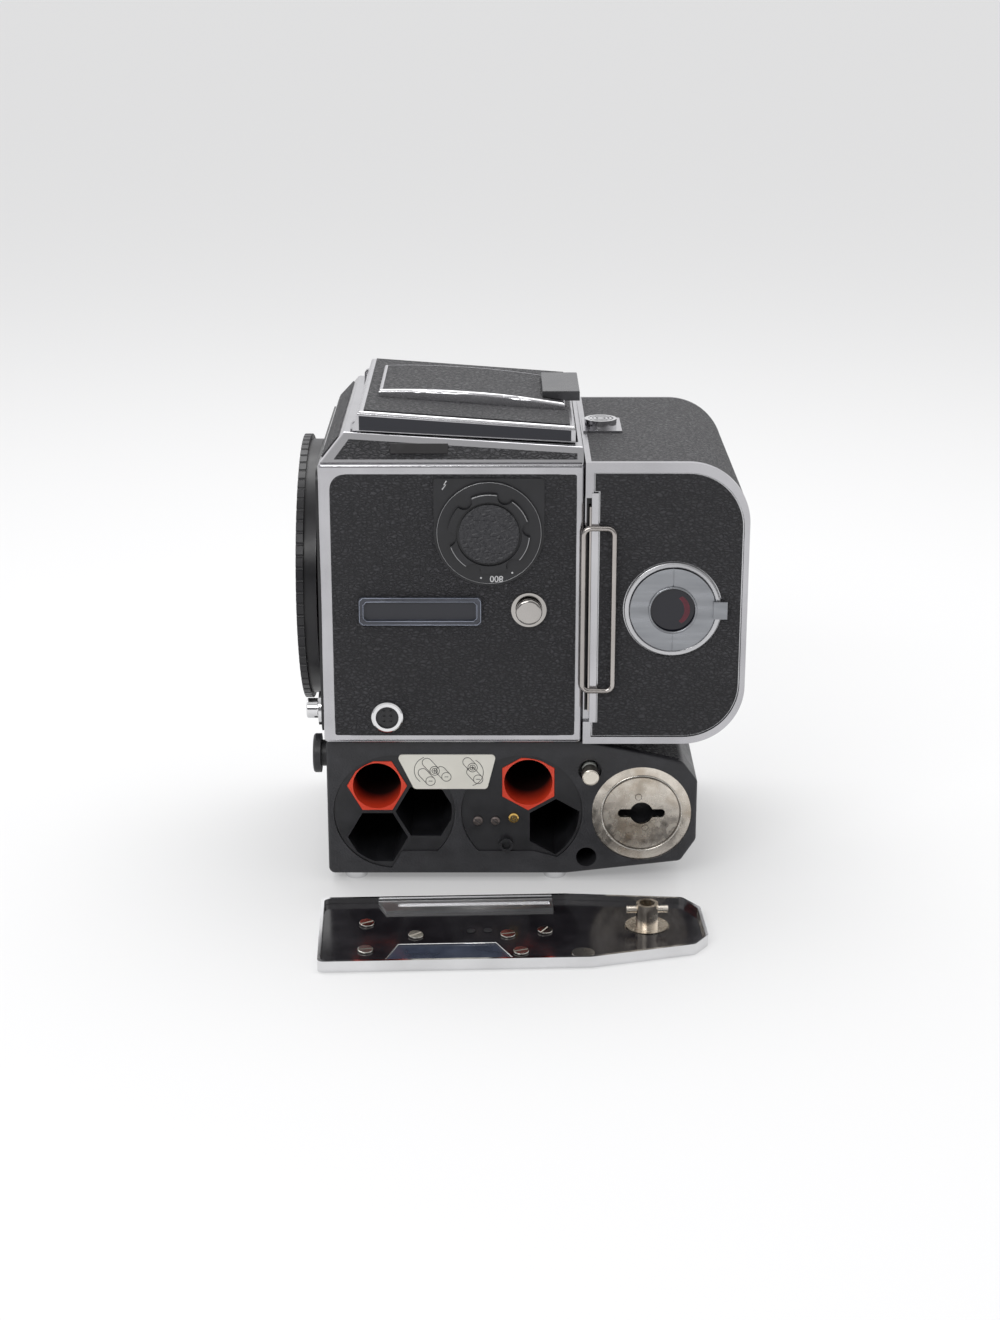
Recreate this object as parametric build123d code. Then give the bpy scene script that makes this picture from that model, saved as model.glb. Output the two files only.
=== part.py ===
from build123d import *
import math
import os

# A medium format film camera on its motor-drive base, with the battery cover taken off.
# Millimetres. X runs from the lens side to the film magazine, Y away from the camera's left side,
# Z up. The origin is the tripod thread's mouth, on the axis plane of the lens.

# Driving dimensions of the camera body
body_width = 94.0
body_front = -38.5
body_back = 40.2
body_bottom = 46.0
body_height = 88.0
body_top = body_bottom + body_height
edge_round = 1.5
lens_axis_rise = 43.0
lens_axis_z = body_bottom + lens_axis_rise
side_recess = 0.8
leather_thickness = 0.7
leather_margin = 3.4
leather_corner = 5.4
leather_gap = 0.1
running_gap = 0.05
moving_gap = 0.3

# The mirror chamber and what it holds
chamber_front = -35.0
chamber_back = 38.2
chamber_half_width = 31.0
chamber_floor_rise = 11.0
chamber_floor = body_bottom + chamber_floor_rise
chamber_roof_drop = 7.0
chamber_roof = body_top - chamber_roof_drop
throat_radius = 34.0
film_gate = 56.0
screen_size = 58.0
screen_thickness = 2.5
screen_ledge = 3.0
mirror_hinge_x = 35.0
mirror_hinge_drop = 2.4
mirror_hinge_z = chamber_roof - mirror_hinge_drop
mirror_length = 65.0
mirror_width = 58.0
mirror_thickness = 2.0
hinge_pin_radius = 0.9
pin_seat_depth = 1.5
flap_thickness = 0.8
shutter_hinge_x = 37.0
shutter_hinge_offset = 29.6
shutter_flap_half_width = 30.0

# The lens mount and its cap
mount_ring_radius = 37.0
mount_bore_radius = 31.0
mount_tab_depth = 2.0
mount_tab_angle = 40.0
mount_tab_count = 3
mount_flange = 0.6
front_plate_thickness = 0.8
cap_radius = 42.0
cap_step_radius = 40.4
cap_rim_length = 2.2
cap_length = 8.0
cap_lug_radius = 30.6
cap_lug_length = 1.2
mount_tab_length = 0.8
cap_ridge_count = 72
coupling_shaft_radius = 2.2
coupling_shaft_drop = 27.0
coupling_shaft_length = 12.0

# The film-speed dial on the left side
dial_x = 12.0
dial_drop = 21.1
dial_z = body_top - dial_drop
dial_radius = 15.6
dial_plate_half_width = 16.4
dial_plate_drop = 4.6
dial_plate_top = body_top - dial_plate_drop
dial_plate_thickness = 0.5
dial_height = 2.0
dial_hub_radius = 9.0
dial_lobe_count = 6
dial_lobe_radius = 2.3
dial_lobe_pitch = 12.2

# Other fittings of the body
rail_left = -27.0
rail_length = 36.6
rail_bottom = 84.3
rail_height = 8.6
rail_thickness = 1.3
rail_edge = 1.3
lug_x = 23.9
lug_z = 89.0
lug_base_radius = 5.3
lug_head_radius = 4.0
lug_height = 3.6
lug_head_thickness = 1.6
socket_x = -19.0
socket_z = 55.2
socket_radius = 4.8
socket_bore_radius = 3.5
socket_height = 2.4
socket_pin_radius = 0.35
lens_release_y = -38.0
lens_release_z = 54.4
lens_release_radius = 3.1
lens_release_length = 5.7
lens_release_stem = 3.6
lens_release_collar = 5.2
lens_release_collar_height = 1.1
lens_release_travel = 2.0

# The folding finder
finder_front = -38.0
finder_back = 39.9
finder_side_set_back = 0.4
finder_half_width = body_width / 2 - finder_side_set_back
finder_rail_front = -31.0
finder_side_lean = 5.1
finder_rail_half_width = finder_half_width - finder_side_lean
finder_rail_front_rise = 8.1
finder_rail_back_rise = 4.2
finder_rail_front_z = body_top + finder_rail_front_rise
finder_rail_back_z = body_top + finder_rail_back_rise
finder_rail_band = 1.9
finder_rail_round = 0.7
finder_corner_round = 0.9
well_front = -27.2
well_back = 38.4
well_half_width = 38.2
well_floor = 1.1
lid_front = -28.4
lid_front_lean = 1.8
lid_back = 37.6
lid_half_width = 40.6
lid_front_rise = 14.0
lid_back_rise = 9.3
lid_front_top = body_top + lid_front_rise
lid_back_top = body_top + lid_back_rise
lid_wall = 1.2
lid_edge_round = 1.1
lid_clearance = 0.3
lid_hinge_x = -27.6
lid_hinge_drop = 4.5
lid_hinge_z = lid_front_top - lid_hinge_drop
flap_hinge_rise = 2.2
flap_hinge_z = body_top + flap_hinge_rise
flap_hinge_y = 36.6
flap_height = 21.0
side_flap_start = 8.0
rear_flap_hinge_x = 35.0
rear_flap_hinge_rise = 4.2
rear_flap_hinge_z = body_top + rear_flap_hinge_rise
rear_flap_half_width = 33.0
rear_pin_radius = 0.6
rear_ear_width = 1.5
rear_ear_half_length = 1.2
flap_mitre_gap = 2.2
strip_front = -21.5
strip_back = 35.0
strip_half_width = 19.5
strip_front_rise = 2.4
strip_back_rise = 2.2
strip_crown = 1.4
strip_edge_round = 0.9
catch_front = 28.2
catch_back = 39.6
catch_half_width = 14.4
catch_rise = 5.3
catch_top = lid_back_top + catch_rise
catch_height = 3.0
catch_travel = 3.0
magnifier_hinge_reach = 32.0
magnifier_length = 29.0
magnifier_half_width = 13.6
magnifier_lens_radius = 11.6
magnifier_thickness = 2.0
magnifier_drop = 1.9
magnifier_top = lid_hinge_z - magnifier_drop

# The motor-drive base
base_front = -38.3
base_back = 76.3
base_floor = 1.3
base_top = 45.7
base_slope_start = 40.7
base_face_y = -43.5
base_far_y = 46.0
base_corner = 2.0
base_edge_round = 0.8
base_ledge_thickness = 0.4
base_ledge_corners = [(-19.4, 1.8), (36.0, 1.8), (33.9, 6.6), (25.7, 8.9), (-15.2, 8.9)]
cell_block_radius = 18.7
cell_block_gap = 0.1
cell_depth = 52.0
front_block_x = -17.6
rear_block_x = 22.0
block_z = 22.0
cell_pitch = 17.3
cell_hex_radius = 9.4
cell_wall = 0.8
adapter_bore_radius = 7.5
adapter_gap = 0.12
polarity_thickness = 0.4
polarity_corners = [(-11.3, 29.9), (11.3, 29.9), (14.1, 41.2), (-16.7, 41.2)]
contact_pin_places = [(8.4, 19.0, 1.5), (13.8, 19.0, 1.4), (19.5, 20.0, 1.6)]
guide_tube_place = (17.2, 11.3)
guide_tube_radius = 2.2
guide_tube_height = 1.6
fuse_x = 43.0
fuse_z = 35.7
fuse_reach = 6.0
fuse_radius = 2.6
fuse_length = 20.0
fuse_seat_radius = 3.6
spare_hole_x = 42.2
spare_hole_z = 6.9
spare_hole_radius = 3.2
key_plate_x = 59.2
key_plate_z = 21.4
key_plate_radius = 15.4
key_plate_step_radius = 12.2
key_plate_recess = 2.0
key_plate_thickness = 1.4
key_rivet_offsets = [(-1.0, 5.4), (1.2, -4.8)]
key_rivet_radius = 0.9
keyhole_radius = 3.6
keyhole_span = 14.6
keyhole_slot = 2.7
keyhole_depth = 9.0
foot_radius = 3.6
foot_bottom = -1.5
foot_inset = 5.5
foot_front_x = -30.0
foot_back_x = 32.5
tripod_plate_length = 56.0
tripod_plate_width = 34.0
tripod_thread_radius = 3.175
tripod_big_thread_radius = 4.7625
tripod_big_thread_x = 17.0
tripod_thread_depth = 7.0
release_y = -36.0
release_z = 38.9
release_radius = 6.1
release_length = 4.3
release_travel = 1.6
mode_dial_z = 24.0
mode_dial_y = 20.0
mode_dial_radius = 8.0
motor_radius = 12.0
motor_length = 40.0
motor_y = 30.0
motor_z = 22.4
motor_front_x = 4.0
gear_module = 0.8
pinion_teeth = 10
gear_teeth = 30
gear_width = 4.0
gear_backlash = 0.2
gear_axle_radius = 1.5

# The battery cover, lying on the floor in front with its inner side up
cover_far_y = -60.8
cover_turn = 2.4
cover_thickness = 3.5
cover_skin = 1.2
cover_rim = 0.9
cover_plate_thickness = 0.5
bridge_contact_place = (21.4, 33.0)
contact_head_radius = 2.2
small_contact_places = [(6.7, 19.2), (11.7, 18.6)]
small_contact_radius = 1.2
fuse_disc_place = (39.9, 37.5)
fuse_disc_radius = 3.4
channel_left = -21.0
channel_right = 32.0
channel_width = 7.2
channel_far_gap = 1.6
key_stud_radius = 3.3
key_stud_height = 7.0
key_pin_radius = 1.1
key_pin_span = 12.4
turn_knob_radius = 9.0
key_flange_radius = 6.4

# The film magazine
magazine_front = 40.5
magazine_back = 89.4
magazine_corner = 18.5
magazine_edge = 1.7
magazine_edge_round = 1.2
frame_strip_start = 1.9
frame_strip_end = 3.9
frame_strip_low = 53.1
frame_strip_high = 124.9
insert_front_margin = 2.5
slot_mouth_drop = 10.6
slot_mouth_top = body_top - slot_mouth_drop
slot_mouth_depth = 1.5
magazine_hollow_margin = 6.0
insert_plate_thickness = 1.6
slide_x = 42.0
slide_thickness = 0.5
slide_gap = 0.25
slide_bottom = 57.0
slide_top = 121.0
slide_length = 88.0
bail_front = 39.2
bail_back = 50.0
bail_bottom = 62.8
bail_top = 115.2
bail_wire_radius = 0.8
insert_key_x = 67.0
insert_key_z = 89.0
insert_key_radius = 12.7
insert_ring_radius = 14.6
key_ring_width = 1.7
key_ring_height = 1.0
key_split_width = 0.3
key_window_radius = 6.8
key_tab_length = 4.2
key_tab_width = 5.4
key_tab_thickness = 0.8
key_height = 1.4
spool_radius = 9.0
spool_core_radius = 4.5
spool_length = 61.0
spool_stud_radius = 2.0
spool_stud_depth = 2.5
catch_button_x = 46.7
catch_button_radius = 5.0
catch_button_height = 2.4
catch_stem_radius = 2.0
catch_plate_thickness = 0.6
catch_button_travel = 4.0
crank_radius = 13.0
crank_height = 5.0

# Values that follow from the driving dimensions
near_y = -body_width / 2
far_y = body_width / 2
leather_face = near_y + side_recess - leather_thickness
leather_base = near_y + side_recess
cell_height = cell_pitch * math.sqrt(3) / 2
chamber_end_y = base_face_y + cell_depth + 2
magazine_bottom = body_bottom
magazine_top = body_top


def write(name, shape):
    export_step(shape, "parts/" + name + ".step")


def block(x_range, y_range, z_range):
    size = [high - low for low, high in (x_range, y_range, z_range)]
    middle = [(high + low) / 2 for low, high in (x_range, y_range, z_range)]
    return Pos(*middle) * Box(*size)


def along_y(sketch, y_low, y_high):
    # A sketch drawn in X and Z, given thickness along Y
    plane = Plane(origin=(0, y_high, 0), x_dir=(1, 0, 0), z_dir=(0, -1, 0))
    return extrude(plane * sketch, y_high - y_low, dir=(0, -1, 0))


def along_x(sketch, x_low, x_high):
    # A sketch drawn in Y and Z, given thickness along X
    plane = Plane(origin=(x_low, 0, 0), x_dir=(0, 1, 0), z_dir=(1, 0, 0))
    return extrude(plane * sketch, x_high - x_low, dir=(1, 0, 0))


def along_z(sketch, z_low, z_high):
    return extrude(Plane.XY.offset(z_low) * sketch, z_high - z_low, dir=(0, 0, 1))


def disc_y(x, z, radius, y_low, y_high):
    return along_y(Pos(x, z) * Circle(radius), y_low, y_high)


def disc_x(y, z, radius, x_low, x_high):
    return along_x(Pos(y, z) * Circle(radius), x_low, x_high)


def panel(x_range, z_range, corner):
    # A rounded rectangle in X and Z
    width = x_range[1] - x_range[0]
    height = z_range[1] - z_range[0]
    middle = Pos((x_range[0] + x_range[1]) / 2, (z_range[0] + z_range[1]) / 2)
    return middle * RectangleRounded(width, height, corner)


def mirrored(shape):
    # The same piece on the camera's other side
    return mirror(shape, about=Plane.XZ)


def pieces(*shapes):
    # Separate solids kept in one node
    solids = []
    for shape in shapes:
        solids.extend(shape.solids())
    return Compound(children=solids)


def at_angle(x, z, radius, degrees):
    turn = math.radians(degrees)
    return x + radius * math.cos(turn), z + radius * math.sin(turn)


# Camera body

leather_x = (body_front + leather_margin, body_back - leather_margin + 1.2)
leather_z = (body_bottom + leather_margin - 0.7, body_top - leather_margin)


def body_shell():
    shell = block((body_front, body_back), (near_y, far_y), (body_bottom, body_top))
    shell = fillet(shell.edges(), edge_round)
    recess = along_y(panel(leather_x, leather_z, leather_corner), near_y - 1, leather_base)
    shell = shell - recess - mirrored(recess)
    chamber = block(
        (chamber_front, chamber_back),
        (-chamber_half_width, chamber_half_width),
        (chamber_floor, chamber_roof),
    )
    shell = shell - chamber
    shell = shell - disc_x(0, lens_axis_z, throat_radius, body_front - 1, chamber_front + 1)
    gate = film_gate / 2
    shell = shell - block(
        (chamber_back - 1, body_back + 1), (-gate, gate), (lens_axis_z - gate, lens_axis_z + gate)
    )
    screen_x = screen_middle()
    ledge = screen_size / 2 - screen_ledge
    shell = shell - block(
        (screen_x - ledge, screen_x + ledge), (-ledge, ledge), (chamber_roof - 1, body_top + 1)
    )
    seat = screen_size / 2 + running_gap
    shell = shell - block(
        (screen_x - seat, screen_x + seat), (-seat, seat), (screen_seat_z(), body_top + 1)
    )
    for x, z in hinge_places():
        reach = chamber_half_width + pin_seat_depth
        shell = shell - disc_y(x, z, hinge_pin_radius + running_gap, -reach, reach)
    hole = lens_release_radius - 1 + running_gap
    shell = shell - disc_x(
        lens_release_y, lens_release_z, hole, body_front - 1, body_front + lens_release_depth()
    )
    return shell + shaft_boss()


def screen_middle():
    return (well_front + well_back) / 2 - 3


def screen_seat_z():
    return body_top - screen_thickness - 1.5


def hinge_places():
    return (
        (mirror_hinge_x, mirror_hinge_z),
        (shutter_hinge_x, lens_axis_z + shutter_hinge_offset),
        (shutter_hinge_x, lens_axis_z - shutter_hinge_offset),
    )


def shaft_boss():
    z = lens_axis_z - coupling_shaft_drop
    boss = block(
        (chamber_front, chamber_front + coupling_shaft_length / 2),
        (-coupling_shaft_radius * 2, coupling_shaft_radius * 2),
        (chamber_floor - 0.5, z + coupling_shaft_radius * 2),
    )
    throat = disc_x(0, lens_axis_z, mount_bore_radius - 2.5, body_front, chamber_front)
    bore = disc_x(0, z, coupling_shaft_radius + running_gap, body_front, chamber_front + 20)
    return boss - throat - bore


def lens_release_depth():
    return lens_release_stem + lens_release_travel + 1


def body_leather():
    width = (leather_x[0] + leather_gap, leather_x[1] - leather_gap)
    height = (leather_z[0] + leather_gap, leather_z[1] - leather_gap)
    sheet = along_y(panel(width, height, leather_corner - leather_gap), leather_face, leather_base)
    return pieces(sheet, mirrored(sheet))


def front_plate():
    height = body_top - body_bottom
    plate = Pos(0, (body_top + body_bottom) / 2) * RectangleRounded(
        body_width - 4, height - 4, leather_corner
    )
    plate = plate - Pos(0, lens_axis_z) * Circle(throat_radius)
    place = Pos(lens_release_y, lens_release_z)
    hole = Circle(lens_release_radius + moving_gap)
    plate = along_x(plate - place * hole, body_front - front_plate_thickness, body_front)
    collar = place * (Circle(lens_release_collar) - hole)
    face = front_face()
    return plate + along_x(collar, face - lens_release_collar_height, face + 0.1)


def front_face():
    return body_front - front_plate_thickness


def ring_sector(inner, outer, start, angle):
    # Part of a ring round the lens axis, drawn in Y and Z
    ring = Circle(outer) - Circle(inner)
    half = angle / 2
    reach = outer * 2
    corners = [
        (0, 0),
        (reach * math.cos(math.radians(-half)), reach * math.sin(math.radians(-half))),
        (reach * math.cos(math.radians(half)), reach * math.sin(math.radians(half))),
    ]
    wedge = Polygon(*corners, align=None)
    return Pos(0, lens_axis_z) * Rot(0, 0, start + half) * (ring & wedge)


def lens_mount_ring():
    face = front_face()
    ring = disc_x(0, lens_axis_z, mount_ring_radius, face - mount_flange, face)
    ring = ring + disc_x(0, lens_axis_z, throat_radius - running_gap, face - mount_flange, chamber_front)
    ring = ring - disc_x(0, lens_axis_z, mount_bore_radius, face - 5, chamber_front + 5)
    for number in range(mount_tab_count):
        start = 70 + number * 360 / mount_tab_count
        tab = ring_sector(mount_bore_radius - mount_tab_depth, mount_bore_radius + 1, start, mount_tab_angle)
        ring = ring + along_x(tab, face - mount_flange, face + mount_tab_length)
    return ring


def body_cap():
    seat = front_face() - mount_flange - 0.4
    back = seat - cap_length + 2
    rim = disc_x(0, lens_axis_z, cap_radius, back, back + cap_rim_length)
    for number in range(cap_ridge_count):
        y, z = at_angle(0, lens_axis_z, cap_radius + 0.25, number * 360 / cap_ridge_count)
        rim = rim - disc_x(y, z, 0.6, back - 1, back + cap_rim_length + 1)
    cap = rim + disc_x(0, lens_axis_z, cap_step_radius, back + cap_rim_length, seat)
    cap = cap - disc_x(0, lens_axis_z, cap_radius - 8, back - 1, back + 0.8)
    neck_radius = mount_bore_radius - mount_tab_depth - moving_gap
    lug_start = front_face() + mount_tab_length + moving_gap
    lug_end = lug_start + cap_lug_length
    neck = Pos(0, lens_axis_z) * (Circle(neck_radius) - Circle(neck_radius - 2))
    cap = cap + along_x(neck, seat - 0.5, lug_end)
    for number in range(mount_tab_count):
        start = 70 + number * 360 / mount_tab_count
        lug = ring_sector(neck_radius - 1.5, cap_lug_radius, start, mount_tab_angle - 6)
        cap = cap + along_x(lug, lug_start, lug_end)
    return cap


def focusing_screen():
    x = screen_middle()
    half = screen_size / 2
    z = screen_seat_z()
    return block((x - half, x + half), (-half, half), (z, z + screen_thickness))


def swinging_mirror():
    # Drawn in its raised place, then laid back to 45 degrees
    z = mirror_hinge_z
    half = mirror_width / 2
    plate = block(
        (mirror_hinge_x - mirror_length, mirror_hinge_x - 1), (-half, half), (z - mirror_thickness, z)
    )
    reach = chamber_half_width + pin_seat_depth - 0.2
    plate = plate + disc_y(mirror_hinge_x, z, hinge_pin_radius, -reach, reach)
    plate = plate + block(
        (mirror_hinge_x - 2, mirror_hinge_x), (-half, half), (z - hinge_pin_radius, z + hinge_pin_radius)
    )
    return plate.rotate(Axis((mirror_hinge_x, 0, z), (0, 1, 0)), -45)


def shutter_flap(side):
    # side is 1 for the upper flap and -1 for the lower one
    hinge_z = lens_axis_z + side * shutter_hinge_offset
    low, high = sorted((lens_axis_z + side * moving_gap, hinge_z))
    half = shutter_flap_half_width
    x = shutter_hinge_x
    flap = block((x - flap_thickness / 2, x + flap_thickness / 2), (-half, half), (low, high))
    reach = chamber_half_width + pin_seat_depth - 0.2
    return flap + disc_y(x, hinge_z, hinge_pin_radius, -reach, reach)


def lens_coupling_shaft():
    z = lens_axis_z - coupling_shaft_drop
    start = front_face() + mount_tab_length + cap_lug_length + 2 * moving_gap
    shaft = disc_x(0, z, coupling_shaft_radius, start, start + coupling_shaft_length)
    slot = block((start - 1, start + 1.2), (-0.4, 0.4), (z - 5, z + 5))
    gear = disc_x(0, z, coupling_shaft_radius * 1.6, chamber_front + 6.4, chamber_front + 8.4)
    return shaft - slot + gear


def lens_release_button():
    head = disc_x(
        lens_release_y, lens_release_z, lens_release_radius, body_front - lens_release_length, body_front - 2.3
    )
    head = fillet(head.edges().sort_by(Axis.X)[0], 0.5)
    stem_end = body_front + lens_release_stem
    stem = disc_x(lens_release_y, lens_release_z, lens_release_radius - 1, body_front - 2.4, stem_end)
    return head + stem


def accessory_rail():
    right = rail_left + rail_length
    top = rail_bottom + rail_height
    outer = panel((rail_left, right), (rail_bottom, top), 1.0)
    inner = panel((rail_left + rail_edge, right - rail_edge), (rail_bottom + rail_edge, top - rail_edge), 0.8)
    frame = along_y(outer, leather_face - rail_thickness, leather_face)
    return frame - along_y(inner, leather_face - rail_thickness - 1, leather_face - 0.3)


def strap_lugs():
    foot = disc_y(lug_x, lug_z, lug_base_radius, leather_face - 0.9, leather_face)
    head_top = leather_face - lug_height
    neck = disc_y(lug_x, lug_z, lug_head_radius - 1.2, head_top + 1, leather_face - 0.8)
    head = disc_y(lug_x, lug_z, lug_head_radius, head_top, head_top + lug_head_thickness)
    head = fillet(head.edges().sort_by(Axis.Y)[0], 0.9)
    lug = foot + neck + head
    return pieces(lug, mirrored(lug))


def flash_socket():
    top = leather_face - socket_height
    socket = disc_y(socket_x, socket_z, socket_radius, top, leather_face)
    socket = chamfer(socket.edges().sort_by(Axis.Y)[0], 0.4)
    return socket - disc_y(socket_x, socket_z, socket_bore_radius, top - 1, leather_face - 0.4)


def socket_insert():
    radius = socket_bore_radius - running_gap
    insert = disc_y(socket_x, socket_z, radius, leather_face - 1.4, leather_face - 0.4)
    for column in (-1, 1):
        for row in (-1, 0, 1):
            x = socket_x + column * 1.05
            z = socket_z + row * 1.7
            insert = insert + disc_y(x, z, socket_pin_radius, leather_face - 2.1, leather_face - 1.3)
    return insert


def dial_plate():
    half = dial_plate_half_width
    sketch = Pos(dial_x, dial_z) * Circle(half)
    sketch = sketch + panel((dial_x - half, dial_x + half), (dial_z, dial_plate_top), 1.0)
    sketch = sketch + Pos(dial_x, dial_z) * Rectangle(half * 2, 2.1)
    plate = along_y(sketch, leather_face - dial_plate_thickness, leather_face)
    post = disc_y(dial_x, dial_z, 2.0, leather_face - dial_plate_thickness - 1.2, leather_face)
    return plate + post


def film_speed_dial():
    base = leather_face - dial_plate_thickness
    outer = Pos(dial_x, dial_z) * Circle(dial_radius)
    dial = along_y(outer, base - 0.8, base)
    grip = Pos(dial_x, dial_z) * Circle(dial_lobe_pitch)
    dial = dial + along_y(grip, base - dial_height, base)
    for number in range(dial_lobe_count):
        x, z = at_angle(dial_x, dial_z, dial_lobe_pitch, 7 + number * 360 / dial_lobe_count)
        dial = dial - disc_y(x, z, dial_lobe_radius, base - dial_height - 1, base - 0.8)
    ring = Pos(dial_x, dial_z) * (Circle(dial_hub_radius + 0.8) - Circle(dial_hub_radius))
    dial = dial - along_y(ring, base - dial_height - 1, base - dial_height + 0.8)
    return dial - disc_y(dial_x, dial_z, 2.0 + running_gap, base - 1.2, base + 1)


# Folding finder

def lid_top_start():
    # The lid's front face leans back, so its top begins behind its foot
    return lid_front + lid_front_lean


def lid_top_at(x):
    slope = (lid_back_top - lid_front_top) / (lid_back - lid_top_start())
    return lid_front_top + (x - lid_top_start()) * slope


def rail_top_at(x):
    slope = (finder_rail_back_z - finder_rail_front_z) / (well_back - finder_rail_front)
    return finder_rail_front_z + (x - finder_rail_front) * slope


def side_profile(x_range, bottoms, tops):
    # Four corners in X and Z: front bottom, back bottom, back top, front top
    corners = [(x_range[0], bottoms[0]), (x_range[1], bottoms[1])]
    corners += [(x_range[1], tops[1]), (x_range[0], tops[0])]
    return Polygon(*corners, align=None)


def finder_hull(inset):
    # The frame's outer form: upright at the back, sloping on the other three sides
    floor = Pos((finder_front + finder_back) / 2, 0) * Rectangle(
        finder_back - finder_front - 2 * inset, 2 * (finder_half_width - inset)
    )
    roof = Pos((finder_rail_front + finder_back) / 2, 0) * Rectangle(
        finder_back - finder_rail_front - 2 * inset, 2 * (finder_rail_half_width - inset)
    )
    hull = loft(
        [Plane.XY.offset(body_top) * floor, Plane.XY.offset(finder_rail_front_z) * roof], ruled=True
    )
    cut = side_profile(
        (finder_front - 5, finder_back + 5),
        (rail_top_at(finder_front - 5), rail_top_at(finder_back + 5)),
        (finder_rail_front_z + 9, finder_rail_front_z + 9),
    )
    return hull - along_y(cut, near_y - 5, far_y + 5)


def finder_base():
    base = finder_hull(0)
    slopes = base.edges().filter_by(Axis.Z, reverse=True).filter_by(Axis.Y, reverse=True)
    slopes = slopes.filter_by(Axis.X, reverse=True).sort_by(Axis.X)[:2]
    base = fillet(slopes, finder_corner_round)
    rim = base.faces().sort_by(Axis.Z)[-1].edges()
    base = fillet(rim, finder_rail_round)
    well = block(
        (well_front, well_back),
        (-well_half_width, well_half_width),
        (body_top + well_floor, finder_rail_front_z + 5),
    )
    view = screen_size / 2 - screen_ledge
    x = screen_middle()
    window = block((x - view, x + view), (-view, view), (body_top - 1, body_top + well_floor + 1))
    base = base - well - window
    pin = hinge_pin_radius + running_gap
    side_pin = along_x(
        Pos(-flap_hinge_y, flap_hinge_z) * Circle(pin), well_front - pin_seat_depth, well_back + pin_seat_depth / 2
    )
    base = base - side_pin - mirrored(side_pin)
    return base + lid_ears() + rear_flap_ears()


def lid_ears():
    # Two ears beside the lid's front corners carry its hinge pins
    low = rail_top_at(lid_hinge_x) - 1
    outer = lid_half_width - lid_wall - moving_gap
    ear = block((lid_hinge_x - 1.4, lid_hinge_x + 1.4), (-outer, -outer + 2), (low, lid_hinge_z))
    ear = ear + disc_y(lid_hinge_x, lid_hinge_z, 1.4, -outer, -outer + 2)
    ear = ear - disc_y(lid_hinge_x, lid_hinge_z, hinge_pin_radius + running_gap, -outer - 1, -outer + 3)
    return ear + mirrored(ear)


def rear_flap_ears():
    # Two ears on the well's floor carry the rear flap's pin
    x = rear_flap_hinge_x
    low = rear_flap_half_width + moving_gap
    high = low + rear_ear_width
    long = rear_ear_half_length
    ear = block((x - long, x + long), (low, high), (body_top + well_floor - 0.5, rear_flap_hinge_z))
    ear = ear + disc_y(x, rear_flap_hinge_z, long, low, high)
    ear = ear - disc_y(x, rear_flap_hinge_z, rear_pin_radius + running_gap, low - 1, high + 1)
    return ear + mirrored(ear)


def finder_leather():
    # Leather on the sloping front and sides, a little inside the frame's edges
    def slope_sheet(corner_a, corner_b, corner_c, corner_d):
        face = Face(Wire.make_polygon([corner_a, corner_b, corner_c, corner_d], close=True))
        return face

    inset = finder_rail_band
    sheets = []
    rise = finder_rail_front_z - body_top
    run = finder_half_width - finder_rail_half_width
    tilt = run / rise
    low = body_top + 0.9
    x0 = finder_front + 4.5
    x1 = finder_back - inset
    front_high = rail_top_at(x0 + 5) - inset
    back_high = rail_top_at(x1) - inset

    def side_y(z):
        return -(finder_half_width - (z - body_top) * tilt)

    side = slope_sheet(
        (x0, side_y(low), low),
        (x1, side_y(low), low),
        (x1, side_y(back_high), back_high),
        (x0 + 4.2, side_y(front_high), front_high),
    )
    direction = Vector(0, -rise, run).normalized()
    sheet = Solid.extrude(side, direction * 0.35)
    sheets.append(sheet)
    sheets.append(mirrored(sheet))
    front_tilt = (finder_rail_front - finder_front) / rise

    def front_x(z):
        return finder_front + (z - body_top) * front_tilt

    high = rail_top_at(finder_rail_front) - inset
    half_low = finder_half_width - 3.0
    half_high = finder_rail_half_width - 1.0
    front = slope_sheet(
        (front_x(low), -half_low, low),
        (front_x(low), half_low, low),
        (front_x(high), half_high, high),
        (front_x(high), -half_high, high),
    )
    direction = Vector(-rise, 0, finder_rail_front - finder_front).normalized()
    sheets.append(Solid.extrude(front, direction * 0.35))
    return pieces(*sheets)


def strip_profile(lift, inset):
    # The centre strip's side outline: flat below on the lid, arched above
    x0 = strip_front + inset
    x1 = strip_back - inset
    middle = (x0 + x1) / 2
    z0 = lid_top_at(x0) + strip_front_rise + lift
    z1 = lid_top_at(x1) + strip_back_rise + lift
    crown = (z0 + z1) / 2 + strip_crown
    arch = ThreePointArc((x0, z0), (middle, crown), (x1, z1))
    down = Polyline((x1, z1), (x1, lid_top_at(x1) - 0.01), (x0, lid_top_at(x0) - 0.01), (x0, z0))
    return make_face(arch + down)


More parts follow.
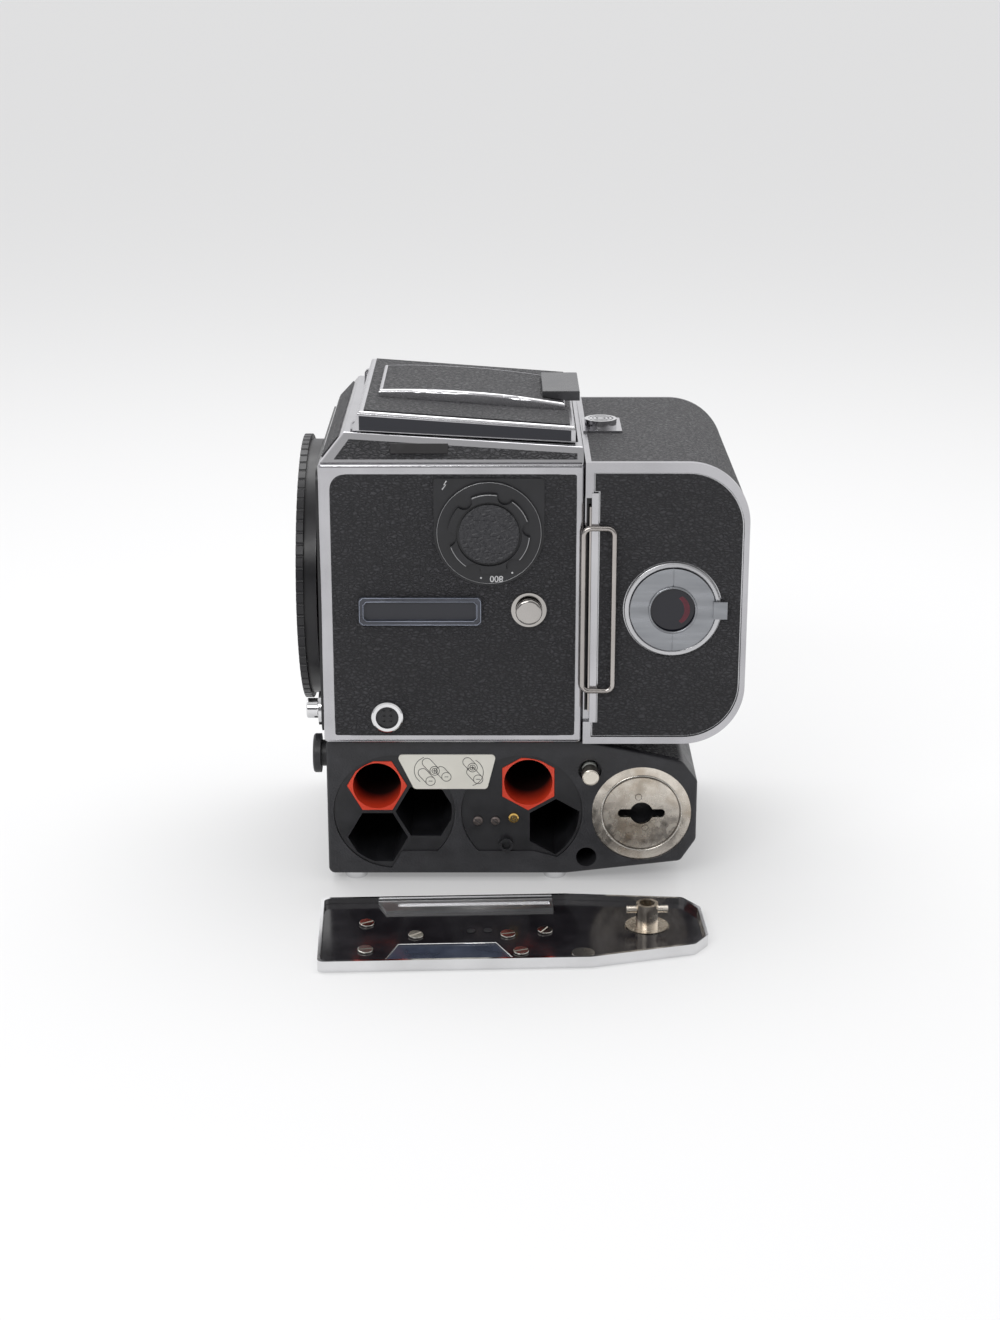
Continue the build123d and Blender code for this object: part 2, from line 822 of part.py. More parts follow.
def finder_lid():
    corners = [(lid_front, rail_top_at(lid_front) + lid_clearance)]
    corners += [(lid_back, rail_top_at(lid_back) + lid_clearance)]
    corners += [(lid_back, lid_back_top), (lid_top_start(), lid_front_top)]
    lid = along_y(Polygon(*corners, align=None), -lid_half_width, lid_half_width)
    lid = fillet(lid.faces().sort_by(Axis.Z)[-1].edges(), lid_edge_round)
    inner_front = lid_top_start() + lid_wall
    inner = side_profile(
        (inner_front, lid_back - lid_wall),
        (lid_front_top - 12, lid_back_top - 12),
        (lid_top_at(inner_front) - lid_wall, lid_top_at(lid_back - lid_wall) - lid_wall),
    )
    half = lid_half_width - lid_wall
    lid = lid - along_y(inner, -half, half)
    notch = block(
        (lid_front - 1, lid_hinge_x + 1.4 + moving_gap),
        (half - 2 - 2 * moving_gap, half),
        (lid_hinge_z - 9, lid_hinge_z + 1.4 + moving_gap),
    )
    lid = lid - notch - mirrored(notch)
    for side in (-1, 1):
        tip = side * (half - 2.6)
        low, high = sorted((side * (half + 0.6), tip))
        lid = lid + disc_y(lid_hinge_x, lid_hinge_z, hinge_pin_radius, low, high)
    strip = along_y(strip_profile(0, 0), -strip_half_width, strip_half_width)
    strip = fillet(strip.faces().sort_by(Axis.Z)[-1].edges(), strip_edge_round)
    lid = lid + strip
    recess = along_y(strip_profile(1, 1.2), -strip_half_width + 1.3, strip_half_width - 1.3)
    keep = along_y(strip_profile(-0.6, 1.2), -strip_half_width + 1.3, strip_half_width - 1.3)
    lid = lid - (recess - keep)
    return lid + magnifier_ears()


def magnifier_hinge():
    return lid_hinge_x + magnifier_hinge_reach, magnifier_top - magnifier_thickness / 2


def magnifier_ears():
    x, z = magnifier_hinge()
    roof = lid_top_at(x) - lid_wall + 0.3
    low = magnifier_half_width + moving_gap
    ear = block((x - 1.4, x + 1.4), (low, low + 1.6), (z, roof))
    ear = ear + disc_y(x, z, 1.4, low, low + 1.6)
    ear = ear - disc_y(x, z, hinge_pin_radius - 0.2 + running_gap, low - 1, low + 3)
    return ear + mirrored(ear)


def finder_lid_leather():
    inset = 1.6
    lid_x = (lid_top_start() + inset, lid_back - inset)

    def sheet(y_low, y_high, x_range):
        outline = side_profile(
            x_range,
            (lid_top_at(x_range[0]), lid_top_at(x_range[1])),
            (lid_top_at(x_range[0]) + 0.35, lid_top_at(x_range[1]) + 0.35),
        )
        return along_y(outline, y_low, y_high)

    edge = lid_half_width - inset
    side = sheet(-edge, -strip_half_width - leather_gap, lid_x)
    front = sheet(-strip_half_width - leather_gap, strip_half_width + leather_gap, (lid_x[0], strip_front - leather_gap))
    cover = along_y(strip_profile(-0.05, 1.2), -strip_half_width + 1.4, strip_half_width - 1.4)
    under = along_y(strip_profile(-0.6, 1.2), -strip_half_width + 1, strip_half_width - 1)
    return pieces(side + front + mirrored(side), cover - under)


def finder_catch():
    z = catch_top - catch_height
    body = block((catch_front, catch_back), (-catch_half_width, catch_half_width), (z, catch_top))
    body = fillet(body.edges().filter_by(Axis.Z, reverse=True).group_by(Axis.Z)[-1], 0.4)
    return body - along_y(strip_profile(0.05, 0), -catch_half_width - 9, catch_half_width + 9)


def magnifier_arm():
    x, z = magnifier_hinge()
    half = magnifier_half_width
    end = x + magnifier_length
    arm = block((x, end - half), (-half, half), (z - 1, z + 1))
    arm = arm + along_z(Pos(end - half, 0) * Circle(half), z - 1, z + 1)
    arm = arm + disc_y(x, z, 1.0, -half, half)
    pin = hinge_pin_radius - 0.2
    arm = arm + disc_y(x, z, pin, -half - 1.6, half + 1.6)
    seat = magnifier_lens_radius + running_gap
    return arm - along_z(Pos(end - half, 0) * Circle(seat), z - 2, z + 2)


def magnifier_lens():
    x, z = magnifier_hinge()
    middle = x + magnifier_length - magnifier_half_width
    lens = along_z(Pos(middle, 0) * Circle(magnifier_lens_radius), z - 0.6, z + 0.6)
    sphere_radius = 90.0
    sag = 0.6
    dome = Pos(middle, 0, z + 0.6 + sag - sphere_radius) * Sphere(sphere_radius)
    column = along_z(Pos(middle, 0) * Circle(magnifier_lens_radius), z, z + 0.6 + sag)
    return lens + (dome & column)


def side_flap():
    # Folded flat towards the middle; its rear end is cut at 45 degrees to clear the rear flap
    z = flap_hinge_z
    front = lid_hinge_x + side_flap_start
    back = rear_flap_hinge_x - flap_mitre_gap
    hinge_y = -flap_hinge_y
    tip_y = hinge_y + flap_height
    outline = Polygon(
        (front, hinge_y), (back, hinge_y), (back - flap_height, tip_y), (front + 3, tip_y), align=None
    )
    flap = along_z(outline, z - flap_thickness / 2, z + flap_thickness / 2)
    pin = along_x(Pos(hinge_y, z) * Circle(hinge_pin_radius), well_front - pin_seat_depth + 0.3, well_back)
    return flap + pin


def rear_flap():
    x = rear_flap_hinge_x
    z = rear_flap_hinge_z
    half = rear_flap_half_width
    tip = half - flap_height
    outline = Polygon(
        (x, -half), (x - flap_height, -tip), (x - flap_height, tip), (x, half), align=None
    )
    flap = along_z(outline, z - flap_thickness / 2, z + flap_thickness / 2)
    reach = half + moving_gap + rear_ear_width
    return flap + disc_y(x, z, rear_pin_radius, -reach, reach)


# Motor-drive base

def base_outline(inset=0.0):
    # The base's side outline in X and Z: long and flat, with a tapering tail
    front = base_front + inset
    back = base_back - inset
    low = base_floor + inset
    high = base_top - inset
    corners = [(front, low), (36.0, low), (71.6, low + 4.2), (back, low + 11.5), (back, low + 31.0)]
    corners += [(71.7, high - 7.2), (base_slope_start, high), (front, high)]
    sketch = Polygon(*corners, align=None)
    return fillet(sketch.vertices(), base_corner)


def hexagon(x, z, radius, turn):
    return Pos(x, z) * RegularPolygon(radius, 6, rotation=turn)


def front_cells():
    # Three cells packed like a honeycomb; the first sits in an adapter
    x = front_block_x - cell_height / 3 - 0.2
    rise = cell_pitch / 2
    return [(x, block_z + rise), (x, block_z - rise), (x + cell_height, block_z)]


def rear_cells():
    # Two cells in line on the same pitch, turned by half a cell; the first sits in an adapter
    x = rear_block_x + 2.0
    z = block_z + 9.8
    return [(x, z), (x + cell_pitch / 2, z - cell_height)]


def cell_block(x, cells, turn):
    end = base_face_y + cell_depth
    body = disc_y(x, block_z, cell_block_radius, base_face_y + 0.5, end)
    reach = Pos(x, block_z) * Circle(cell_block_radius - cell_wall)
    for cell_x, cell_z in cells:
        pocket = hexagon(cell_x, cell_z, cell_hex_radius, turn) & reach
        body = body - along_y(pocket, base_face_y - 1, end - 2)
    return body


def cell_adapter(x, cell, turn):
    radius = cell_hex_radius - adapter_gap
    reach = Pos(x, block_z) * Circle(cell_block_radius - cell_wall - adapter_gap)
    sleeve = hexagon(cell[0], cell[1], radius, turn) & reach
    bore = Pos(*cell) * Circle(adapter_bore_radius)
    return along_y(sleeve - bore, base_face_y + 0.3, base_face_y + cell_depth - 2)


def cell_adapters():
    front = cell_adapter(front_block_x, front_cells()[0], 0)
    rear = cell_adapter(rear_block_x, rear_cells()[0], 30)
    return pieces(front, rear)


def base_housing():
    housing = along_y(base_outline(), base_face_y, base_far_y)
    housing = fillet(housing.faces().sort_by(Axis.Y)[0].edges(), base_edge_round)
    housing = fillet(housing.faces().sort_by(Axis.Y)[-1].edges(), base_edge_round)
    for x in (front_block_x, rear_block_x):
        housing = housing - disc_y(x, block_z, cell_block_radius + cell_block_gap, base_face_y - 1, chamber_end_y - 2)
    housing = housing + base_ledge()
    housing = housing - disc_y(fuse_x, fuse_z, fuse_seat_radius, base_face_y - 1, base_face_y + 3)
    housing = housing - disc_y(fuse_x, fuse_z, fuse_radius + running_gap, base_face_y, base_face_y + fuse_length + 3)
    housing = housing - disc_y(spare_hole_x, spare_hole_z, spare_hole_radius, base_face_y - 1, base_face_y + fuse_length)
    recess = base_face_y + key_plate_recess
    housing = housing - disc_y(key_plate_x, key_plate_z, key_plate_radius + cell_block_gap, base_face_y - 1, recess)
    housing = housing - disc_y(
        key_plate_x, key_plate_z, keyhole_span / 2 + 1, base_face_y, base_face_y + keyhole_depth
    )
    housing = housing - motor_space()
    housing = housing - tripod_seat()
    hole = release_radius - 2 + running_gap
    depth = release_length + release_travel + 2
    housing = housing - disc_x(release_y, release_z, hole, base_front - 1, base_front + depth)
    axle = disc_x(mode_dial_y, mode_dial_z, 2.0 + running_gap, base_front - 1, base_front + 5)
    return housing - axle


def base_ledge():
    # A thin lip across the foot of both cell blocks keeps them from sliding out
    outline = Polygon(*base_ledge_corners, align=None)
    return along_y(outline, base_face_y, base_face_y + base_ledge_thickness)


def gear_place():
    distance = gear_module * (pinion_teeth + gear_teeth) / 2 + gear_backlash / 2
    return motor_y - distance, motor_z


def motor_space():
    gear_y, gear_z = gear_place()
    start = motor_front_x - 2
    shaft_x = motor_front_x + motor_length
    bay = block(
        (start, shaft_x + 14),
        (motor_y - motor_radius - moving_gap, motor_y + motor_radius + moving_gap),
        (motor_z - motor_radius - moving_gap, motor_z + motor_radius + 4),
    )
    gear_room = gear_module * gear_teeth / 2 + 2
    bay = bay + block((shaft_x + 2, shaft_x + 14), (gear_y - gear_room, motor_y), (gear_z - gear_room, gear_z + gear_room))
    bay = bay + disc_x(gear_y, gear_z, gear_axle_radius + running_gap, shaft_x - 3, shaft_x + 18)
    wire_duct = disc_y(rear_block_x, block_z, 3.0, chamber_end_y - 3, motor_y)
    return bay + wire_duct


def motor():
    body = disc_x(motor_y, motor_z, motor_radius, motor_front_x, motor_front_x + motor_length)
    flats = block((-99, 99), (-99, 99), (motor_z - 9.5, motor_z + 9.5))
    body = body & flats
    legs = block(
        (motor_front_x + 4, motor_front_x + motor_length - 4),
        (motor_y - 8, motor_y + 8),
        (motor_z - motor_radius - moving_gap, motor_z - 8),
    )
    nose = disc_x(motor_y, motor_z, 3.5, motor_front_x + motor_length - 1, motor_front_x + motor_length + 1.5)
    bearing = disc_x(motor_y, motor_z, 1.05, motor_front_x + motor_length - 6, motor_front_x + motor_length + 2)
    return body + legs + nose - bearing


def spur_gear(y, z, teeth, x_low, x_high, turn):
    # Straight-sided teeth on a root disc
    pitch_radius = gear_module * teeth / 2
    root = pitch_radius - gear_module * 1.2
    tip = pitch_radius + gear_module * 0.9
    gear = Pos(y, z) * Circle(root)
    pitch = math.pi * gear_module
    tooth = Polygon(
        (root - 0.3, -pitch * 0.36), (tip, -pitch * 0.12), (tip, pitch * 0.12), (root - 0.3, pitch * 0.36), align=None
    )
    for number in range(teeth):
        gear = gear + Pos(y, z) * Rot(0, 0, turn + number * 360 / teeth) * tooth
    return along_x(gear, x_low, x_high)


def motor_pinion():
    start = motor_front_x + motor_length + 2.5
    pinion = spur_gear(motor_y, motor_z, pinion_teeth, start, start + gear_width + 2, 0)
    return pinion + disc_x(motor_y, motor_z, 1.0, motor_front_x + motor_length - 5, start + 1)


def drive_gear():
    y, z = gear_place()
    start = motor_front_x + motor_length + 3.5
    gear = spur_gear(y, z, gear_teeth, start, start + gear_width, 180 / gear_teeth)
    axle_start = motor_front_x + motor_length - 2.5
    return gear + disc_x(y, z, gear_axle_radius, axle_start, axle_start + 20)


def base_leather():
    # A leather sheet over the sloping top of the tail, behind the body
    x0 = base_slope_start + 0.6
    x1 = 70.5
    drop = (base_top - (base_top - 7.2)) / (71.7 - base_slope_start)

    def top(x):
        return base_top - (x - base_slope_start) * drop

    outline = side_profile((x0, x1), (top(x0), top(x1)), (top(x0) + 0.2, top(x1) + 0.35))
    return along_y(outline, base_face_y + 2, base_far_y - 2)


def polarity_plate():
    sketch = Polygon(*polarity_corners, align=None)
    sketch = fillet(sketch.vertices(), 1.2)
    return along_y(sketch, base_face_y - polarity_thickness, base_face_y)


def contact_pins():
    start = base_face_y + 0.5
    pins = []
    for x, z, radius in contact_pin_places:
        pin = disc_y(x, z, radius, start - 1.0, start)
        pins.append(chamfer(pin.edges().sort_by(Axis.Y)[0], 0.4))
    x, z = guide_tube_place
    tube = disc_y(x, z, guide_tube_radius, start - guide_tube_height, start)
    tube = tube - disc_y(x, z, guide_tube_radius - 0.8, start - 3, start - 0.4)
    return pieces(*pins, tube)


def fuse():
    start = base_face_y - fuse_reach
    body = disc_y(fuse_x, fuse_z, fuse_radius - 0.2, start + 4, start + fuse_length - 4)
    for low in (start, start + fuse_length - 5):
        body = body + disc_y(fuse_x, fuse_z, fuse_radius, low, low + 5)
    return fillet(body.edges().sort_by(Axis.Y)[0], 0.5)


def keyhole(y_low, y_high):
    hole = disc_y(key_plate_x, key_plate_z, keyhole_radius, y_low, y_high)
    half = keyhole_span / 2
    slot_z = (key_plate_z - keyhole_slot / 2, key_plate_z + keyhole_slot / 2)
    slot = panel((key_plate_x - half, key_plate_x + half), slot_z, 1.2)
    return hole + along_y(slot, y_low, y_high)


def cover_key_plate():
    back = base_face_y + key_plate_recess
    plate = disc_y(key_plate_x, key_plate_z, key_plate_radius, back - key_plate_thickness, back)
    step = Pos(key_plate_x, key_plate_z) * (Circle(key_plate_step_radius) - Circle(key_plate_step_radius - 0.5))
    plate = plate - along_y(step, back - key_plate_thickness - 1, back - key_plate_thickness + 0.3)
    plate = plate - keyhole(back - 5, back + 5)
    for x, z in key_rivet_offsets:
        plate = plate + disc_y(key_plate_x + x, key_plate_z + z, key_rivet_radius, back - key_plate_thickness - 0.3, back - 0.2)
    return plate


def feet():
    group = []
    for x in (foot_front_x, foot_back_x):
        for y in (base_face_y + foot_inset, base_far_y - foot_inset):
            foot = along_z(Pos(x, y) * Circle(foot_radius), foot_bottom, base_floor)
            group.append(fillet(foot.edges().sort_by(Axis.Z)[0], 0.7))
    return pieces(*group)


def tripod_outline():
    return Pos(tripod_big_thread_x / 2, 0) * RectangleRounded(tripod_plate_length, tripod_plate_width, 3)


def tripod_seat():
    sketch = Pos(tripod_big_thread_x / 2, 0) * RectangleRounded(
        tripod_plate_length + 2 * cell_block_gap, tripod_plate_width + 2 * cell_block_gap, 3 + cell_block_gap
    )
    seat = along_z(sketch, base_floor - 1, base_floor + 0.8)
    depth = tripod_thread_depth + 1
    seat = seat + along_z(Circle(tripod_thread_radius + 1), 0, depth)
    return seat


def tripod_plate():
    plate = along_z(tripod_outline(), 0, base_floor + 0.8)
    plate = plate + along_z(Circle(tripod_thread_radius + 0.9), base_floor, tripod_thread_depth)
    plate = plate - along_z(Circle(tripod_thread_radius), -1, tripod_thread_depth - 1)
    return plate - along_z(Pos(tripod_big_thread_x, 0) * Circle(tripod_big_thread_radius), -1, base_floor + 2)


def release_knob():
    outer = base_front - release_length
    knob = disc_x(release_y, release_z, release_radius, outer, base_front - 1.9)
    knob = fillet(knob.edges().sort_by(Axis.X)[0], 0.8)
    stem = disc_x(release_y, release_z, release_radius - 2, base_front - 2, base_front + release_length)
    return knob + stem


def mode_dial():
    dial = disc_x(mode_dial_y, mode_dial_z, mode_dial_radius, base_front - 3.3, base_front - 0.2)
    for number in range(24):
        y, z = at_angle(mode_dial_y, mode_dial_z, mode_dial_radius + 0.2, number * 15)
        dial = dial - disc_x(y, z, 0.5, base_front - 4, base_front)
    return dial + disc_x(mode_dial_y, mode_dial_z, 2.0, base_front - 1, base_front + 4)


# Battery cover

def laid_down(shape):
    # The cover lies a little askew in front of the base
    x = (base_front + base_back) / 2
    y = cover_far_y - (base_top - base_floor) / 2
    return shape.rotate(Axis((x, y, 0), (0, 0, 1)), cover_turn)


def lay_flat(x, z):
    # A place on the cover's inner face, given by the place that it meets on the base
    return x, cover_far_y - (z - base_floor)


def flat_outline(inset):
    sketch = mirror(base_outline(inset), about=Plane.XZ)
    return Pos(0, cover_far_y + base_floor) * sketch


def cover_pan():
    top = foot_bottom + cover_thickness
    pan = along_z(flat_outline(0), foot_bottom, top)
    pan = pan - along_z(flat_outline(cover_rim), foot_bottom + cover_skin, top + 1)
    x, y = lay_flat(key_plate_x, key_plate_z)
    return pan - along_z(Pos(x, y) * Circle(turn_knob_radius + running_gap), foot_bottom - 1, top)


def cover_inner_plate():
    low = foot_bottom + cover_skin
    plate = along_z(flat_outline(cover_rim + leather_gap), low, low + cover_plate_thickness)
    x, y = lay_flat(key_plate_x, key_plate_z)
    plate = plate - along_z(Pos(x, y) * Circle(key_flange_radius + moving_gap), low - 1, low + 2)
    _, y_mid = lay_flat(0, 41.2)
    wide = Polygon((-19.0, y_mid - 1), (18.4, y_mid - 1), (13.8, y_mid + 9.6), (-15.0, y_mid + 9.6), align=None)
    plate = plate - along_z(wide, low + 0.2, low + 2)
    return plate


def cover_channel():
    # The bright channel that holds the cover's insulating strip
    low = foot_bottom + cover_skin + cover_plate_thickness
    y_far = cover_far_y - channel_far_gap
    y_near = y_far - channel_width
    corners = [(channel_left, y_far), (channel_right, y_far), (channel_right, y_near), (channel_left + 2.5, y_near)]
    sketch = Polygon(*corners, align=None)
    channel = along_z(sketch, low, low + 1.0)
    groove_y = (y_far - 4.6, y_far - 2.2)
    groove = block((channel_left + 6, channel_right - 1), groove_y, (low + 0.4, low + 3))
    return channel - groove


def cover_contacts():
    low = foot_bottom + cover_skin + cover_plate_thickness
    group = []
    for x, z in front_cells() + rear_cells() + [bridge_contact_place]:
        place = Pos(*lay_flat(x, z))
        spot = along_z(place * Circle(contact_head_radius), low, low + 0.5)
        group.append(fillet(spot.edges().sort_by(Axis.Z)[-1], 0.3))
    for x, z in small_contact_places:
        group.append(along_z(Pos(*lay_flat(x, z)) * Circle(small_contact_radius), low, low + 0.3))
    disc = along_z(Pos(*lay_flat(*fuse_disc_place)) * Circle(fuse_disc_radius), low, low + 0.4)
    group.append(disc)
    return pieces(*group)


def cover_key_stud():
    x, y = lay_flat(key_plate_x, key_plate_z)
    place = Pos(x, y)
    floor = foot_bottom + 0.15
    flange_top = foot_bottom + cover_skin + 0.8
    knob = along_z(place * Circle(turn_knob_radius), floor, foot_bottom + cover_skin - 0.1)
    slot = block((x - 7, x + 7), (y - 0.9, y + 0.9), (floor - 1, floor + 0.6))
    knob = knob - slot
    flange = along_z(place * Circle(key_flange_radius), floor + 0.7, flange_top)
    tube = along_z(place * Circle(key_stud_radius), floor + 0.7, flange_top + key_stud_height)
    tube = tube - along_z(place * Circle(key_stud_radius - 1), flange_top, flange_top + key_stud_height + 1)
    pin_z = flange_top + key_stud_height - 2
    half = key_pin_span / 2
    pins = along_x(Pos(y, pin_z) * Circle(key_pin_radius), x - half, x + half)
    pins = pins - along_z(place * Circle(key_stud_radius - 1), flange_top, flange_top + key_stud_height + 1)
    return knob + flange + tube + pins


# Film magazine

def magazine_outline(inset):
    # Square at the front, with large round corners at the back
    low = magazine_bottom + inset
    high = magazine_top - inset
    back = magazine_back - inset
    front = magazine_front + inset
    radius = magazine_corner - inset
    sketch = Polygon((front, low), (back, low), (back, high), (front, high), align=None)
    corners = sketch.vertices().sort_by(Axis.X)[-2:]
    return fillet(corners, radius)


def magazine_shell():
    shell = along_y(magazine_outline(0), near_y, far_y)
    for face in (shell.faces().sort_by(Axis.Y)[0], shell.faces().sort_by(Axis.Y)[-1]):
        shell = fillet(face.edges().sort_by(Axis.X)[1:], magazine_edge_round)
    band = magazine_outline(-3) - magazine_outline(leather_thickness)
    edge = magazine_edge + 0.4
    middle_z = (magazine_bottom + magazine_top) / 2
    band = band - Pos(magazine_front, middle_z) * Rectangle(2 * magazine_edge, 2 * body_width)
    shell = shell - along_y(band, near_y + edge, far_y - edge)
    hollow = magazine_outline(magazine_hollow_margin)
    shell = shell - along_y(hollow, near_y - 1, far_y - 5)
    door = panel_back(insert_outline(-leather_gap))
    shell = shell - door
    gate = film_gate / 2
    shell = shell - block(
        (magazine_front - 1, magazine_front + 9), (-gate, gate), (lens_axis_z - gate, lens_axis_z + gate)
    )
    half = slide_thickness / 2 + slide_gap
    shell = shell - block(
        (slide_x - half, slide_x + half),
        (near_y - 1, near_y + slide_length + 1),
        (slide_bottom - slide_gap, slide_top + slide_gap),
    )
    mouth = block(
        (magazine_front - 1, slide_x + half),
        (near_y - 1, near_y + slot_mouth_depth),
        (frame_strip_low, slot_mouth_top),
    )
    side = along_y(side_outline(0), far_y - side_recess, far_y + 1)
    return shell - mouth - side - catch_slot() - catch_plate_block(0)


def catch_slot():
    half = catch_stem_radius + 2 * leather_gap
    return block(
        (catch_button_x - half, catch_button_x + half),
        (-half, half + catch_button_travel),
        (magazine_top - 4, magazine_top + 5),
    )


def catch_plate_block(gap):
    return block(
        (catch_button_x - 5.6 - gap, catch_button_x + 6.4 + gap),
        (-7.5 - gap, 7.5 + catch_button_travel + gap),
        (magazine_top - leather_thickness, magazine_top + catch_plate_thickness),
    )


def side_outline(inset):
    # The leather-covered side: square at the front, round at the back
    low = magazine_bottom + magazine_edge + inset + 0.6
    high = magazine_top - magazine_edge - inset - 1.4
    back = magazine_back - magazine_edge - inset
    front = magazine_front + insert_front_margin + inset
    radius = magazine_corner - magazine_edge - inset
    sketch = Polygon((front, low), (back, low), (back, high), (front, high), align=None)
    return fillet(sketch.vertices().sort_by(Axis.X)[-2:], radius)


def insert_outline(inset):
    # The near side's panel leaves room for the bright strip beside the dark slide
    strip = panel(
        (magazine_front - 5, magazine_front + frame_strip_end + leather_gap + inset),
        (frame_strip_low - leather_gap - inset, frame_strip_high + leather_gap + inset),
        0.2,
    )
    return side_outline(inset) - strip


def panel_back(sketch):
    return along_y(sketch, near_y - 1, near_y + insert_plate_thickness + 0.5)


def film_insert():
    # A side plate with the spool cradles and the film rollers behind it
    start = near_y + leather_thickness - 0.1
    plate = along_y(insert_outline(leather_gap), start, near_y + insert_plate_thickness + 0.4)
    inner = magazine_outline(magazine_hollow_margin + moving_gap)
    end = far_y - 5 - moving_gap
    rear_wall = along_y(inner, end - 2, end)
    base = near_y + insert_plate_thickness
    web = magazine_outline(magazine_hollow_margin + moving_gap) - magazine_outline(magazine_hollow_margin + 2)
    window = Rectangle(2 * 14, body_width * 2)
    web = web - Pos(magazine_front, lens_axis_z) * window
    frame = along_y(web, base, end)
    gate_plate_x = magazine_front + magazine_hollow_margin + moving_gap
    platen = block(
        (gate_plate_x + 9, gate_plate_x + 11), (base, end), (lens_axis_z - 31, lens_axis_z + 31)
    )
    insert = plate + rear_wall + frame + platen
    for x, z in spool_places():
        low, high = spool_ends()
        insert = insert + disc_y(x, z, spool_stud_radius, base - 0.5, low + spool_stud_depth)
        insert = insert + disc_y(x, z, spool_stud_radius, high - spool_stud_depth, end - 1)
    key_hole = disc_y(insert_key_x, insert_key_z, 3.0 + running_gap, start - 1, start + 1.5)
    return insert + key_ring() - key_hole


def spool_places():
    x = magazine_front + 30
    return ((x, lens_axis_z + 22.5), (x, lens_axis_z - 22.5))


def spool_ends():
    middle = (near_y + insert_plate_thickness + far_y - 5 - moving_gap) / 2
    return middle - spool_length / 2 - 2, middle + spool_length / 2 + 2


def film_spools():
    group = []
    for x, z in spool_places():
        low, high = spool_ends()
        spool = disc_y(x, z, spool_core_radius, low, high)
        for y in (low, high - 1.5):
            spool = spool + disc_y(x, z, spool_radius, y, y + 1.5)
        spool = spool - disc_y(x, z, spool_stud_radius + running_gap, low - 1, high + 1)
        group.append(spool)
    return pieces(*group)


def insert_leather():
    start = near_y + leather_thickness - 0.1
    sheet = insert_outline(leather_gap + 0.3) - Pos(insert_key_x, insert_key_z) * Circle(insert_ring_radius + 0.3)
    return along_y(sheet, start - 0.5, start)


def insert_key():
    base = near_y + leather_thickness - 0.1
    outer = insert_ring_radius - key_ring_width - 2 * running_gap
    ring = Pos(insert_key_x, insert_key_z) * (Circle(outer) - Circle(key_window_radius + running_gap))
    key = along_y(ring, base - key_height, base - 0.1)
    tab_low = insert_key_x + insert_key_radius - 0.6
    tab = block(
        (tab_low, tab_low + key_tab_length),
        (base - key_height - key_tab_thickness, base - key_ring_height - 0.1),
        (insert_key_z - key_tab_width / 2, insert_key_z + key_tab_width / 2),
    )
    split = block(
        (insert_key_x - key_split_width / 2, insert_key_x + key_split_width / 2),
        (base - key_height - 1, base - key_height + 0.5),
        (insert_key_z - outer - 1, insert_key_z + outer + 1),
    )
    return key - split + tab


def key_window():
    base = near_y + leather_thickness - 0.1
    window = disc_y(insert_key_x, insert_key_z, key_window_radius, base - 0.7, base)
    stem = disc_y(insert_key_x, insert_key_z, 3.0, base - 0.1, base + 1.4)
    return window + stem


def key_ring():
    # The raised round-edged ring of the insert's plate, in which the key turns
    base = near_y + leather_thickness - 0.1
    sketch = Circle(insert_ring_radius) - Circle(insert_ring_radius - key_ring_width)
    ring = along_y(Pos(insert_key_x, insert_key_z) * sketch, base - key_ring_height, base + 0.2)
    return fillet(ring.faces().sort_by(Axis.Y)[0].edges(), 0.5)


def magazine_leather():
    inner = leather_thickness - 0.02
    edge = magazine_edge + 0.5
    band = magazine_outline(0.05) - magazine_outline(inner)
    middle_z = (magazine_bottom + magazine_top) / 2
    band = band - Pos(magazine_front, middle_z) * Rectangle(2 * magazine_edge + leather_gap, 2 * body_width)
    wrap = along_y(band, near_y + edge, far_y - edge)
    hole = catch_plate_block(leather_gap)
    side = along_y(side_outline(0.3), far_y - side_recess, far_y - side_recess + leather_thickness)
    return pieces(wrap - hole, side)


def magazine_frame():
    # The bright strip beside the dark slide's slot
    return block(
        (magazine_front + frame_strip_start, magazine_front + frame_strip_end),
        (near_y - 0.35, near_y),
        (frame_strip_low, frame_strip_high),
    )


def dark_slide():
    half = slide_thickness / 2
    sheet = block((slide_x - half, slide_x + half), (near_y - 1.4, near_y + slide_length), (slide_bottom, slide_top))
    y = near_y - 1.4
    wire = bail_wire_radius
    corners = RectangleRounded(bail_back - bail_front - 2 * wire, bail_top - bail_bottom - 2 * wire, 2.2)
    path = Plane(
        origin=((bail_front + bail_back) / 2, y, (bail_bottom + bail_top) / 2), x_dir=(1, 0, 0), z_dir=(0, -1, 0)
    ) * corners
    loop = path.wires()[0]
    start = loop.edges().sort_by(Axis.X)[-1]
    place = start @ 0.5
    section = Plane(origin=place, z_dir=start % 0.5) * Circle(wire)
    bail = sweep(section, path=loop)
    return sheet + bail


def magazine_catch():
    top = magazine_top + catch_plate_thickness
    button = along_z(Pos(catch_button_x, 0) * Circle(catch_button_radius), top, top + catch_button_height)
    for radius in (1.6, 2.8, 4.0):
        groove = Pos(catch_button_x, 0) * (Circle(radius) - Circle(radius - 0.5))
        button = button - along_z(groove, top + catch_button_height - 0.4, top + catch_button_height + 1)
    stem = along_z(Pos(catch_button_x, 0) * Circle(catch_stem_radius), magazine_top - 3.5, top + 0.5)
    return button + stem


def catch_plate():
    return catch_plate_block(0) - catch_slot()


